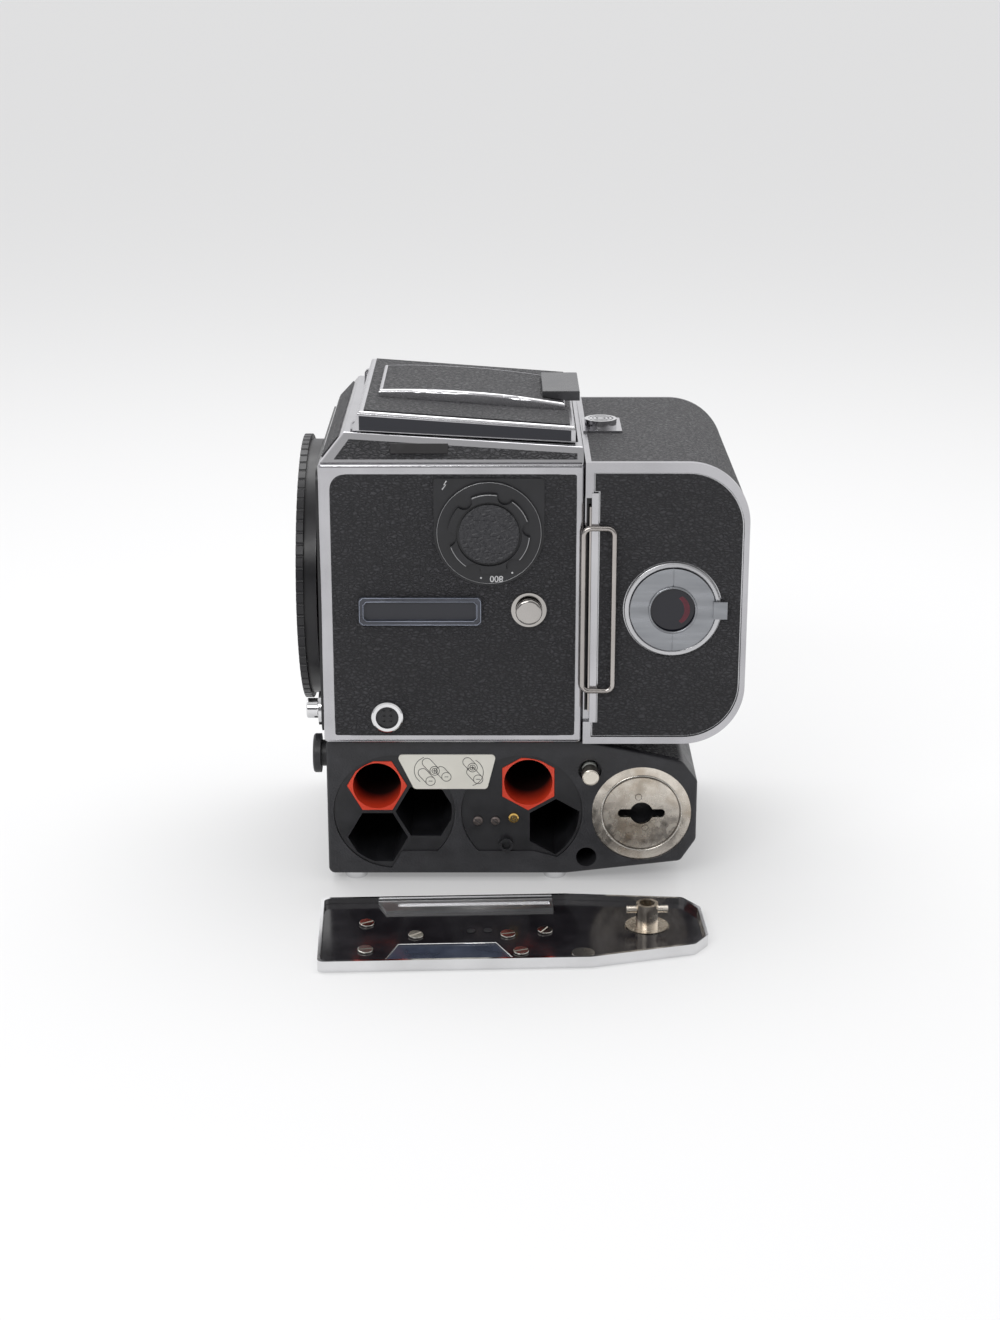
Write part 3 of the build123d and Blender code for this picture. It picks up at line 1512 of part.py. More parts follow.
def winding_crank():
    base = far_y - side_recess + leather_thickness
    disc = disc_y(insert_key_x, insert_key_z, crank_radius, base + 0.2, base + 2.6)
    arm = block(
        (insert_key_x - crank_radius + 2, insert_key_x + crank_radius - 1),
        (base + 2.5, base + 4.0),
        (insert_key_z - 3, insert_key_z + 3),
    )
    knob = disc_y(insert_key_x + crank_radius - 5, insert_key_z, 2.6, base + 3.9, base + crank_height + 3)
    pin = disc_y(insert_key_x, insert_key_z, 2.0, far_y - 4, base + 1)
    return disc + arm + knob + pin


def memo_frame():
    outer = Rectangle(44, 50)
    inner = Rectangle(40, 46)
    frame = along_x(Pos(0, lens_axis_z) * outer, magazine_back - 0.05, magazine_back + 1.4)
    frame = frame - along_x(Pos(0, lens_axis_z) * inner, magazine_back + 0.5, magazine_back + 0.9)
    return frame - along_x(Pos(0, lens_axis_z + 2) * Rectangle(36, 46.01), magazine_back + 0.5, magazine_back + 3)


def build():
    os.makedirs("parts", exist_ok=True)
    axle_hole = disc_y(insert_key_x, insert_key_z, 2.0 + running_gap, far_y - 4.5, far_y + 2)
    flap = side_flap()
    write("body_shell", body_shell())
    write("body_leather", body_leather())
    write("front_plate", front_plate())
    write("lens_mount_ring", lens_mount_ring())
    write("body_cap", body_cap())
    write("focusing_screen", focusing_screen())
    write("mirror", swinging_mirror())
    write("upper_shutter_flap", shutter_flap(1))
    write("lower_shutter_flap", shutter_flap(-1))
    write("lens_coupling_shaft", lens_coupling_shaft())
    write("lens_release_button", lens_release_button())
    write("accessory_rail", accessory_rail())
    write("strap_lugs", strap_lugs())
    write("flash_socket", flash_socket())
    write("socket_insert", socket_insert())
    write("dial_plate", dial_plate())
    write("film_speed_dial", film_speed_dial())
    write("finder_base", finder_base())
    write("finder_leather", finder_leather())
    write("finder_lid", finder_lid())
    write("finder_lid_leather", finder_lid_leather())
    write("finder_catch", finder_catch())
    write("magnifier_arm", magnifier_arm())
    write("magnifier_lens", magnifier_lens())
    write("left_flap", flap)
    write("right_flap", mirrored(flap))
    write("rear_flap", rear_flap())
    write("base_housing", base_housing())
    write("base_leather", base_leather())
    write("front_cell_block", cell_block(front_block_x, front_cells(), 0))
    write("rear_cell_block", cell_block(rear_block_x, rear_cells(), 30))
    write("cell_adapters", cell_adapters())
    write("polarity_plate", polarity_plate())
    write("contact_pins", contact_pins())
    write("fuse", fuse())
    write("cover_key_plate", cover_key_plate())
    write("feet", feet())
    write("tripod_plate", tripod_plate())
    write("release_knob", release_knob())
    write("mode_dial", mode_dial())
    write("motor", motor())
    write("motor_pinion", motor_pinion())
    write("drive_gear", drive_gear())
    write("cover_pan", laid_down(cover_pan()))
    write("cover_inner_plate", laid_down(cover_inner_plate()))
    write("cover_channel", laid_down(cover_channel()))
    write("cover_contacts", laid_down(cover_contacts()))
    write("cover_key_stud", laid_down(cover_key_stud()))
    write("magazine_shell", magazine_shell() - axle_hole)
    write("magazine_leather", magazine_leather() - axle_hole)
    write("magazine_frame", pieces(magazine_frame(), catch_plate()))
    write("dark_slide", dark_slide())
    write("film_insert", film_insert())
    write("insert_leather", insert_leather())
    write("insert_key", insert_key())
    write("key_window", key_window())
    write("film_spools", film_spools())
    write("magazine_catch", magazine_catch())
    write("winding_crank", winding_crank())
    write("memo_frame", memo_frame())


build()
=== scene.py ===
import math

import bmesh
import bpy
from mathutils import Matrix, Vector


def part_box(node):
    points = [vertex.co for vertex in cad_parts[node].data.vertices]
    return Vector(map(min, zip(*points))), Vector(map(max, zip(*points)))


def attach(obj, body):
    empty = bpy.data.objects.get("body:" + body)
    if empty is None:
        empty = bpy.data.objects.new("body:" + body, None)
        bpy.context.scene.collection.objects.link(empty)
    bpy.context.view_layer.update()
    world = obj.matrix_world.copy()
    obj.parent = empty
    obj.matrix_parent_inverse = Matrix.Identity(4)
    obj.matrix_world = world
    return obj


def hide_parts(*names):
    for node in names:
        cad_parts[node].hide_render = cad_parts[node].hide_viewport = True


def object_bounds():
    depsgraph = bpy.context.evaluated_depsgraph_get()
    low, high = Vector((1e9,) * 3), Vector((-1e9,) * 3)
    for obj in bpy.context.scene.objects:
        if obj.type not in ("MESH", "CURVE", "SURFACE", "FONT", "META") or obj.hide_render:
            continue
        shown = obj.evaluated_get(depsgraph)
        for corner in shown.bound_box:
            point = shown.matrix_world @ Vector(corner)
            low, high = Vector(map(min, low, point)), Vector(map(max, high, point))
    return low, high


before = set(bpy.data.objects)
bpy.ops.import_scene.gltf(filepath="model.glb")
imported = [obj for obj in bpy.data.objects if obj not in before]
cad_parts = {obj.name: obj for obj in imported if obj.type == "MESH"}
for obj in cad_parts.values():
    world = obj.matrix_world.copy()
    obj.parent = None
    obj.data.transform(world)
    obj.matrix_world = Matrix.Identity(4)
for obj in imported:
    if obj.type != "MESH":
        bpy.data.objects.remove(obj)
frame_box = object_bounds()


# View
# The camera is seen from its left side, from a little above the finder, with a short telephoto lens.
# The place, tilt and focal length were worked out from edges of known size on the near side.
viewer_lens = bpy.data.cameras.new("viewer")
viewer_lens.sensor_width = 36.0
viewer_lens.lens = 62.57
viewer_lens.clip_start = 0.01
viewer = bpy.data.objects.new("viewer", viewer_lens)
viewer.location = (0.01525, -0.70385, 0.29332)
viewer.rotation_euler = (math.radians(71.457), 0.0, 0.0)
bpy.context.scene.collection.objects.link(viewer)
bpy.context.scene.camera = viewer
bpy.context.scene.view_settings.view_transform = "Standard"


# Table
# The camera stands on a plain table of smooth pale paper that runs far out without an edge.
# Part of the paper's brightness is its own where it is seen, so that it stays pale far out.
def start_finish(name, colour, roughness, metallic=0.0):
    finish = bpy.data.materials.new(name)
    finish.use_nodes = True
    shader = finish.node_tree.nodes["Principled BSDF"]
    shader.inputs["Base Color"].default_value = (*colour, 1.0)
    shader.inputs["Roughness"].default_value = roughness
    shader.inputs["Metallic"].default_value = metallic
    return finish


def is_output(value):
    return hasattr(value, "is_linked")


def join(owner, value, socket):
    # Another step's output is linked to the socket, and a plain number or colour is set on it
    if is_output(value):
        owner.node_tree.links.new(value, socket)
    else:
        socket.default_value = value


def add_step(owner, kind, inputs, **settings):
    step = owner.node_tree.nodes.new(kind)
    for name, value in settings.items():
        setattr(step, name, value)
    for name, value in inputs.items():
        join(owner, value, step.inputs[name])
    return step


def combine(finish, first, second, operation="ADD"):
    return add_step(finish, "ShaderNodeMath", {0: first, 1: second}, operation=operation).outputs[0]


def spread(finish, value, low, high, from_low=0.3, from_high=0.7):
    # Stretches the part of a value between two limits over the range from low to high
    limits = {"From Min": from_low, "From Max": from_high, "To Min": low, "To Max": high}
    return add_step(finish, "ShaderNodeMapRange", {"Value": value, **limits}).outputs["Result"]


def start_piece(name, add_primitive, **measures):
    bpy.ops.object.select_all(action="DESELECT")
    add_primitive(**measures)
    piece = bpy.context.object
    piece.name = name
    return piece


table_foot = (0.0, 0.0, frame_box[0].z)
table = start_piece("table", bpy.ops.mesh.primitive_plane_add, size=30.0, location=table_foot)
paper = start_finish("table_paper", (0.735, 0.735, 0.738), 0.9)
paper_shader = paper.node_tree.nodes["Principled BSDF"]
paper_shader.inputs["Specular IOR Level"].default_value = 0.1

glow_share = 0.28
paper_glow = add_step(paper, "ShaderNodeEmission", {"Color": (0.92, 0.92, 0.925, 1.0)})
rays = add_step(paper, "ShaderNodeLightPath", {}).outputs
seen = combine(paper, rays["Is Camera Ray"], rays["Is Glossy Ray"], "MAXIMUM")
seen = combine(paper, seen, rays["Is Transmission Ray"], "MAXIMUM")
glowing = combine(paper, seen, glow_share, "MULTIPLY")
paper_parts = {0: glowing, 1: paper_shader.outputs[0], 2: paper_glow.outputs[0]}
paper_mix = add_step(paper, "ShaderNodeMixShader", paper_parts)
join(paper, paper_mix.outputs[0], paper.node_tree.nodes["Material Output"].inputs["Surface"])
table.data.materials.append(paper)


# Lamps
# Two broad soft lamps light the camera: a weaker one hangs above, a little to its far side,
# and a stronger one stands in front, on the lens side.
def soft_lamp(name, place, aim, size, watts):
    lamp = bpy.data.lights.new(name, "AREA")
    lamp.shape = "RECTANGLE"
    lamp.size = size[0]
    lamp.size_y = size[1]
    lamp.energy = watts
    holder = bpy.data.objects.new(name, lamp)
    holder.location = place
    holder.rotation_euler = (Vector(aim) - Vector(place)).to_track_quat("-Z", "Y").to_euler()
    bpy.context.scene.collection.objects.link(holder)


soft_lamp("light_above", (0.05, 0.25, 0.8), (0.01, 0.0, 0.08), (0.8, 0.5), 3.4)
soft_lamp("light_lens_side", (-0.45, -1.05, 0.85), (0.0, 0.0, 0.08), (0.8, 0.35), 6.4)


# Room
# The room is bright overhead and behind the table, and dim near the floor and behind the viewer.
# The chrome shows it as soft shading.
room = bpy.data.worlds.new("room")
bpy.context.scene.world = room
room.use_nodes = True
room_way = add_step(room, "ShaderNodeTexCoord", {}).outputs["Generated"]
room_split = add_step(room, "ShaderNodeSeparateXYZ", {0: room_way})
room_shade = add_step(room, "ShaderNodeValToRGB", {"Fac": room_split.outputs["Z"]})
lower_shade, upper_shade = room_shade.color_ramp.elements
lower_shade.position = 0.0
lower_shade.color = (0.5, 0.5, 0.515, 1.0)
upper_shade.position = 0.62
upper_shade.color = (1.0, 1.0, 1.0, 1.0)
room_light = room.node_tree.nodes["Background"]
room_strength = spread(room, room_split.outputs["Y"], 0.3, 1.3, -0.9, 0.35)
join(room, room_shade.outputs["Color"], room_light.inputs["Color"])
join(room, room_strength, room_light.inputs["Strength"])


# Leather covering
# The body, finder, magazine and base are covered with thin black grained leather, glued into
# shallow recesses. The grain is about a millimetre across, creased, with a soft shine.
def surface_place(finish, stretch=(1.0, 1.0, 1.0), turn=(0.0, 0.0, 0.0)):
    place = add_step(finish, "ShaderNodeTexCoord", {}).outputs["Object"]
    inputs = {"Vector": place, "Scale": stretch, "Rotation": turn}
    return add_step(finish, "ShaderNodeMapping", inputs).outputs["Vector"]


def noise(finish, place, scale, detail=3.0):
    inputs = {"Vector": place, "Scale": scale, "Detail": detail}
    return add_step(finish, "ShaderNodeTexNoise", inputs).outputs["Fac"]


def vector_step(finish, operation, vector, amount=None):
    inputs = {0: vector}
    if operation == "SCALE":
        inputs["Scale"] = amount
    elif amount is not None:
        inputs[1] = amount
    step = add_step(finish, "ShaderNodeVectorMath", inputs, operation=operation)
    single = operation in ("DOT_PRODUCT", "LENGTH")
    return step.outputs["Value" if single else "Vector"]


def blend_colours(finish, share, first, second):
    inputs = {"Factor": share}
    for socket, colour in ((6, first), (7, second)):
        inputs[socket] = colour if is_output(colour) else (*colour, 1.0)
    return add_step(finish, "ShaderNodeMix", inputs, data_type="RGBA").outputs[2]


def feed(finish, value, socket):
    join(finish, value, finish.node_tree.nodes["Principled BSDF"].inputs[socket])


def relief(finish, height, depth):
    bump = add_step(finish, "ShaderNodeBump", {"Height": height, "Strength": 1.0, "Distance": depth})
    feed(finish, bump.outputs["Normal"], "Normal")


def drifted(finish, place, scale, amount):
    # Moves a pattern's places about a little, so that its lines wander
    drift = add_step(finish, "ShaderNodeTexNoise", {"Vector": place, "Scale": scale})
    shift = vector_step(finish, "SCALE", drift.outputs["Color"], amount)
    return vector_step(finish, "ADD", place, shift)


def grain_tops(finish, place, grain):
    # 0 in the creases between the grains, rising steeply to 1 on their tops
    inputs = {"Vector": place, "Scale": grain}
    grains = add_step(finish, "ShaderNodeTexVoronoi", inputs, feature="DISTANCE_TO_EDGE")
    return spread(finish, grains.outputs["Distance"], 0.0, 1.0, 0.0, 0.32)


def grained_leather(name, grain, depth):
    finish = start_finish(name, (0.03, 0.03, 0.033), 0.45)
    place = surface_place(finish, (0.55, 1.0, 1.0), (0.15, 0.5, 0.1))
    wandering = drifted(finish, place, grain * 0.5, 0.0016)
    wandering = drifted(finish, wandering, grain * 1.6, 0.0005)
    tops = grain_tops(finish, wandering, grain)
    pores = noise(finish, place, grain * 4.0, 2.0)
    relief(finish, combine(finish, tops, spread(finish, pores, 0.0, 0.5)), depth)
    feed(finish, spread(finish, tops, 0.7, 0.34, 0.0, 1.0), "Roughness")
    patches = spread(finish, noise(finish, place, 60.0, 4.0), 0.0, 1.0)
    worn_and_lit_tops = blend_colours(finish, patches, (0.03, 0.029, 0.034), (0.042, 0.041, 0.047))
    # Painted shade and highlight: the creases are painted darker as shade and the grain tops paler as a
    # highlight, over a patchy tone
    feed(finish, blend_colours(finish, tops, (0.014, 0.014, 0.016), worn_and_lit_tops), "Base Color")
    return finish


def dress(finish, *nodes):
    for node in nodes:
        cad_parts[node].material_slots[0].material = finish


leather = grained_leather("black_leather", 1150.0, 0.0003)
dress(leather, "body_leather", "base_leather", "magazine_leather", "insert_leather")
finder_skin = grained_leather("finder_leather_skin", 980.0, 0.0004)
dress(finder_skin, "finder_leather", "finder_lid_leather")


# Body side sheets
# The two leather sheets on the body's sides are cut square at three corners and rounded at the upper
# front one. They are glued flat into the shell's recesses.
sheet_low, sheet_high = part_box("body_leather")
sheet_middle = (sheet_low + sheet_high) / 2
sheet_thickness = 0.00074
sheet_side = 0.04667
sheet_corner_round = 0.0044
sheet_cut_round = 0.0007


def round_cross_edges(sheet, wanted, radius, steps):
    # Rounds the edges through the sheet's thickness whose place passes the test
    bpy.ops.object.mode_set(mode="EDIT")
    shape = bmesh.from_edit_mesh(sheet.data)
    for part in (*shape.faces, *shape.edges, *shape.verts):
        part.select = False
    for edge in shape.edges:
        first, second = (corner.co for corner in edge.verts)
        if abs(first.y - second.y) > 0.0005 and wanted(first):
            edge.select_set(True)
    bmesh.update_edit_mesh(sheet.data)
    bpy.ops.mesh.bevel(offset=radius, segments=steps)
    bpy.ops.object.mode_set(mode="OBJECT")


for side, sheet_name in ((-1, "left_leather"), (1, "right_leather")):
    sheet = start_piece(sheet_name, bpy.ops.mesh.primitive_cube_add, size=1.0)
    size = (sheet_high.x - sheet_low.x, sheet_thickness, sheet_high.z - sheet_low.z, 1.0)
    place = Matrix.Translation((sheet_middle.x, side * sheet_side, sheet_middle.z))
    sheet.data.transform(place @ Matrix.Diagonal(size))
    round_cross_edges(sheet, lambda at: at.x < 0 and at.z > 0.1, sheet_corner_round, 12)
    round_cross_edges(sheet, lambda at: at.x > 0.03 or at.z < 0.06, sheet_cut_round, 4)
    sheet.data.materials.append(leather)
    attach(sheet, "body")
    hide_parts("body_leather")


# Chromed shells
# The body, finder and magazine are aluminium shells with a satin chrome finish and smooth round edges.
# Inside, the mirror chamber, the finder's well, the magazine and the dark slide's slot are painted
# black against stray light.
def plated(name, colour, roughness, brushing=(1.0, 1.0, 1.0)):
    scratch_depth = 0.000004
    finish = start_finish(name, colour, roughness, 1.0)
    place = surface_place(finish, brushing)
    smear = noise(finish, place, 55.0, 4.0)
    feed(finish, spread(finish, smear, roughness * 0.8, roughness * 1.35), "Roughness")
    dull = tuple(part * 0.86 for part in colour)
    feed(finish, blend_colours(finish, spread(finish, smear, 0.0, 1.0), colour, dull), "Base Color")
    relief(finish, noise(finish, place, 2600.0, 2.0), scratch_depth)
    return finish


millimetre = 0.001


def inside_box(finish, low, high, soft=0.0001):
    # 1 inside the box between two corners in millimetres, 0 outside, over a soft edge in metres
    middle = [(a + b) / 2 * millimetre for a, b in zip(low, high)]
    half = [(b - a) / 2 * millimetre for a, b in zip(low, high)]
    offset = vector_step(finish, "SUBTRACT", surface_place(finish), middle)
    offset = vector_step(finish, "ABSOLUTE", offset)
    offset = vector_step(finish, "SUBTRACT", offset, half)
    split = add_step(finish, "ShaderNodeSeparateXYZ", {0: offset}).outputs
    deepest = combine(finish, split["X"], split["Y"], "MAXIMUM")
    deepest = combine(finish, deepest, split["Z"], "MAXIMUM")
    return spread(finish, deepest, 1.0, 0.0, -soft, soft)


def above_line(finish, start, end, soft=0.0001):
    # 1 above the line between two places (x, z) given in millimetres, 0 below
    run = (end[0] - start[0]) * millimetre
    rise = (end[1] - start[1]) * millimetre
    length = math.hypot(run, rise)
    origin = (start[0] * millimetre, 0.0, start[1] * millimetre)
    offset = vector_step(finish, "SUBTRACT", surface_place(finish), origin)
    height = vector_step(finish, "DOT_PRODUCT", offset, (-rise / length, 0.0, run / length))
    return spread(finish, height, 0.0, 1.0, -soft, soft)


def opposite(finish, mask):
    return spread(finish, mask, 1.0, 0.0, 0.0, 1.0)


def where_all(finish, mask, *others):
    # 1 where every one of the masks is 1
    for other in others:
        mask = combine(finish, mask, other, "MINIMUM")
    return mask


def paint_over(finish, mask, colour, roughness, metallic=0.0):
    # Lays a second finish over the first where the mask is 1
    shader = finish.node_tree.nodes["Principled BSDF"]
    for name, value in (("Roughness", roughness), ("Metallic", metallic)):
        socket = shader.inputs[name]
        under = socket.links[0].from_socket if socket.is_linked else socket.default_value
        mixed = add_step(finish, "ShaderNodeMix", {0: mask, 2: under, 3: value})
        feed(finish, mixed.outputs[0], name)
    under = shader.inputs["Base Color"].links[0].from_socket
    feed(finish, blend_colours(finish, mask, under, colour), "Base Color")


inner_black = (0.008, 0.008, 0.009)


def blacken_hollow(finish, low, high, roughness):
    paint_over(finish, inside_box(finish, low, high), inner_black, roughness)


body_chrome = plated("body_chrome", (0.52, 0.515, 0.535), 0.2)
blacken_hollow(body_chrome, (-37.2, -44.5, 47.8), (39.6, 44.5, 132.5), 0.6)
dress(body_chrome, "body_shell")

finder_chrome = plated("finder_chrome", (0.56, 0.555, 0.575), 0.16)
blacken_hollow(finder_chrome, (-27.25, -38.25, 132.0), (38.45, 38.25, 150.0), 0.5)
dress(finder_chrome, "finder_base", "magazine_frame")

# The magazine's film chamber first, then its slot for the dark slide
magazine_chrome = plated("magazine_chrome", (0.52, 0.515, 0.535), 0.2)
blacken_hollow(magazine_chrome, (41.2, -44.5, 50.0), (86.0, 44.5, 130.5), 0.6)
blacken_hollow(magazine_chrome, (40.9, -46.8, 56.5), (43.2, -30.0, 123.4), 0.5)
dress(magazine_chrome, "magazine_shell")

insert_chrome = plated("insert_chrome", (0.55, 0.55, 0.565), 0.24)
blacken_hollow(insert_chrome, (44.0, -44.6, 47.0), (88.0, 46.0, 132.0), 0.5)
dress(insert_chrome, "film_insert")


# Finder lid
# The lid is one chromed pressing with leather on top. Its two side walls have a bright border round
# glossy black enamel with a faint blue cast, and its inside is painted black.
lid_chrome = plated("lid_chrome", (0.62, 0.615, 0.635), 0.24)

# Each box reaches well past the lid on the sides where it isn't meant to end
between_walls = inside_box(lid_chrome, (-60.0, -40.3, 100.0), (60.0, 40.3, 180.0))
between_ends = inside_box(lid_chrome, (-26.4, -60.0, 100.0), (36.3, 60.0, 180.0))
above_foot = above_line(lid_chrome, (-26.6, 142.3), (37.6, 138.9))
above_crest = above_line(lid_chrome, (-26.6, 146.7), (37.6, 142.2))
on_walls = opposite(lid_chrome, between_walls)
under_crest = opposite(lid_chrome, above_crest)
wall_panel = where_all(lid_chrome, on_walls, between_ends, above_foot, under_crest)
paint_over(lid_chrome, wall_panel, (0.006, 0.007, 0.014), 0.12)

lid_hollow = inside_box(lid_chrome, (-25.45, -39.45, 100.0), (36.45, 39.45, 180.0))
under_roof = opposite(lid_chrome, above_line(lid_chrome, (-26.6, 147.1), (37.6, 142.4)))
paint_over(lid_chrome, where_all(lid_chrome, lid_hollow, under_roof), inner_black, 0.45)
dress(lid_chrome, "finder_lid")


# Bright fittings
# Buttons, lugs, sockets, feet and the cover's channel are polished chrome; the mount is harder and duller.
# The motor's gears and the dark slide are bare steel, and the slide's bail is warm nickel wire.
polished_chrome = plated("polished_chrome", (0.78, 0.78, 0.79), 0.1)
dress(polished_chrome, "flash_socket", "lens_release_button", "cover_pan", "feet")
dress(polished_chrome, "magazine_catch", "winding_crank", "memo_frame")
# The channel's chrome is paler than the other chrome so that it shows bright, a painted highlight
channel_chrome = plated("channel_chrome", (0.88, 0.88, 0.89), 0.34)
dress(channel_chrome, "cover_channel")
lug_chrome = plated("lug_chrome", (0.46, 0.44, 0.42), 0.14)
dress(lug_chrome, "strap_lugs")
key_chrome = plated("key_chrome", (0.32, 0.33, 0.35), 0.3, (1.0, 1.0, 9.0))
dress(key_chrome, "insert_key")
mount_chrome = plated("mount_chrome", (0.72, 0.72, 0.72), 0.18)
dress(mount_chrome, "lens_mount_ring")
steel = plated("bare_steel", (0.56, 0.56, 0.57), 0.3, (1.0, 6.0, 1.0))
dress(steel, "lens_coupling_shaft", "tripod_plate", "motor", "motor_pinion", "drive_gear")
slide_steel = plated("slide_steel", (0.46, 0.43, 0.41), 0.2)
dress(slide_steel, "dark_slide")


# Black parts
# The front plate and shutter flaps are black lacquered metal, the finder's flaps thin black steel,
# the cap, catch and cell blocks moulded black plastic, and the base a painted casting with a fine wrinkle.
def black_part(name, colour, roughness, grain, depth):
    finish = start_finish(name, colour, roughness)
    place = surface_place(finish)
    relief(finish, noise(finish, place, grain, 3.0), depth)
    dust = noise(finish, place, 140.0, 5.0)
    feed(finish, spread(finish, dust, roughness * 0.8, roughness * 1.25), "Roughness")
    dusty = spread(finish, dust, 0.0, 1.0, 0.4, 0.8)
    pale = tuple(part * 1.7 + 0.004 for part in colour)
    feed(finish, blend_colours(finish, dusty, colour, pale), "Base Color")
    return finish


black_lacquer = black_part("black_lacquer", (0.012, 0.012, 0.013), 0.35, 1500.0, 0.00001)
dress(black_lacquer, "mirror", "upper_shutter_flap", "lower_shutter_flap")
dress(black_lacquer, "left_flap", "right_flap", "rear_flap", "magnifier_arm")

# The front plate keeps a bright collar round the lens release button
front_lacquer = black_part("front_lacquer", (0.012, 0.012, 0.013), 0.35, 1500.0, 0.00001)
button_collar = inside_box(front_lacquer, (-41.2, -43.6, 48.8), (-39.35, -32.4, 60.0))
paint_over(front_lacquer, button_collar, (0.7, 0.7, 0.71), 0.15, 1.0)
dress(front_lacquer, "front_plate")

cap_plastic = black_part("cap_plastic", (0.004, 0.0035, 0.0055), 0.36, 2200.0, 0.000006)
dress(cap_plastic, "body_cap")
catch_plastic = black_part("catch_plastic", (0.035, 0.035, 0.038), 0.28, 2200.0, 0.00001)
dress(catch_plastic, "finder_catch")
moulded_black = black_part("moulded_black", (0.016, 0.016, 0.018), 0.4, 2200.0, 0.00002)
dress(moulded_black, "socket_insert", "release_knob", "mode_dial", "film_spools")
cell_plastic = black_part("cell_plastic", (0.011, 0.011, 0.013), 0.38, 1800.0, 0.00003)
dress(cell_plastic, "front_cell_block", "rear_cell_block")
base_paint = black_part("base_paint", (0.02, 0.02, 0.023), 0.42, 1500.0, 0.00014)
dress(base_paint, "base_housing")


# Film-speed dial
# A lobed dial turns on a black enamelled plate, with leather let into its hub.
# Bright lines on its rim and on the edges of four of its grip lobes are painted highlights.
def inside_round(finish, middle, radius, soft=0.0001):
    # 1 within a radius of the line across the camera through (x, z), all in millimetres
    origin = (middle[0] * millimetre, 0.0, middle[1] * millimetre)
    offset = vector_step(finish, "SUBTRACT", surface_place(finish), origin)
    reach = vector_step(finish, "LENGTH", vector_step(finish, "MULTIPLY", offset, (1.0, 0.0, 1.0)))
    edge = radius * millimetre
    return spread(finish, reach, 1.0, 0.0, edge - soft, edge + soft)


def drawn_lines(name, strokes, width, finish, body):
    # Thin lines through places in millimetres; a stroke that ends where it starts is closed
    drawing = start_piece(name, bpy.ops.curve.primitive_bezier_curve_add)
    drawing.data.dimensions = "3D"
    drawing.data.splines.clear()
    for stroke in strokes:
        closed = stroke[0] == stroke[-1]
        places = stroke[:-1] if closed else stroke
        line = drawing.data.splines.new("POLY")
        line.points.add(len(places) - 1)
        for point, place in zip(line.points, places):
            point.co = (place[0] * millimetre, place[1] * millimetre, place[2] * millimetre, 1.0)
        line.use_cyclic_u = closed
    drawing.data.bevel_depth = width / 2 * millimetre
    drawing.data.bevel_resolution = 1
    drawing.data.use_fill_caps = True
    bpy.ops.object.convert(target="MESH")
    drawing = bpy.context.object
    drawing.data.materials.append(finish)
    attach(drawing, body)


def arc(x, z, radius, first, last, y, steps=24):
    # Places on an arc in a plane across the camera, in millimetres, between two angles in degrees
    angles = [math.radians(first + (last - first) * step / steps) for step in range(steps + 1)]
    places = [(x + radius * math.cos(turn), y, z + radius * math.sin(turn)) for turn in angles]
    if abs(last - first) == 360:
        places[-1] = places[0]
    return places


def ring(x, z, radius, y, steps=24):
    return arc(x, z, radius, 0, 360, y, steps)


dial_middle = (12.0, 112.9)
dial_face = -48.2
grip_face = -49.35
hub_radius = 8.9

dial_enamel = black_part("dial_enamel", (0.009, 0.009, 0.011), 0.42, 2600.0, 0.000012)
dress(dial_enamel, "dial_plate")
hub_enamel = black_part("hub_enamel", (0.009, 0.009, 0.011), 0.38, 2600.0, 0.000012)
hub = inside_round(hub_enamel, dial_middle, hub_radius)
hub_place = surface_place(hub_enamel, (0.7, 1.0, 1.0), (0.0, 0.6, 0.0))
hub_tops = grain_tops(hub_enamel, drifted(hub_enamel, hub_place, 460.0, 0.0014), 760.0)
relief(hub_enamel, combine(hub_enamel, hub_tops, hub, "MULTIPLY"), 0.00025)
paint_over(hub_enamel, hub, (0.026, 0.026, 0.03), 0.48)
dress(hub_enamel, "film_speed_dial")

# Painted highlights: thin bright metal lines along the dial's rim and the lit edges of some grip lobes
painted_highlight_edge = plated("painted_highlight_edge", (0.42, 0.42, 0.43), 0.3)
highlit_lobes = (0, 1, 3, 5)
grip_edges = [arc(*dial_middle, 11.95, 19 + 60 * lobe, 55 + 60 * lobe, grip_face) for lobe in highlit_lobes]
drawn_lines("dial_grip_edges", grip_edges, 0.3, painted_highlight_edge, "dial")
rim_edge = ring(*dial_middle, 15.45, dial_face + 0.02, 72)
drawn_lines("dial_rim_edge", [rim_edge], 0.16, painted_highlight_edge, "dial")


# Dial marks
# The flash arrow on the plate, and the two dots and the number in use on the dial, are cut in and filled
# with pale paint. The number stands upside down at the bottom of the dial.
def mottled(name, first, second, roughness, scale, detail=3.0):
    # A plain finish whose colour drifts between two near shades
    finish = start_finish(name, first, roughness)
    patches = spread(finish, noise(finish, surface_place(finish), scale, detail), 0.0, 1.0)
    feed(finish, blend_colours(finish, patches, first, second), "Base Color")
    return finish


plate_face = -47.42
mark_face = dial_face - 0.02
pale_paint = mottled("pale_paint", (0.7, 0.7, 0.71), (0.5, 0.5, 0.51), 0.5, 3000.0)
arrow_points = ((-0.5, 128.7), (-1.3, 127.5), (-0.7, 127.55), (-1.8, 126.1))
flash_arrow = [(x, plate_face, z) for x, z in arrow_points]
drawn_lines("flash_arrow", [flash_arrow], 0.4, pale_paint, "body")
dial_dots = [ring(x, z, 0.16, mark_face, 10) for x, z in ((9.6, 99.2), (18.9, 100.8))]
drawn_lines("dial_dots", dial_dots, 0.34, pale_paint, "dial")

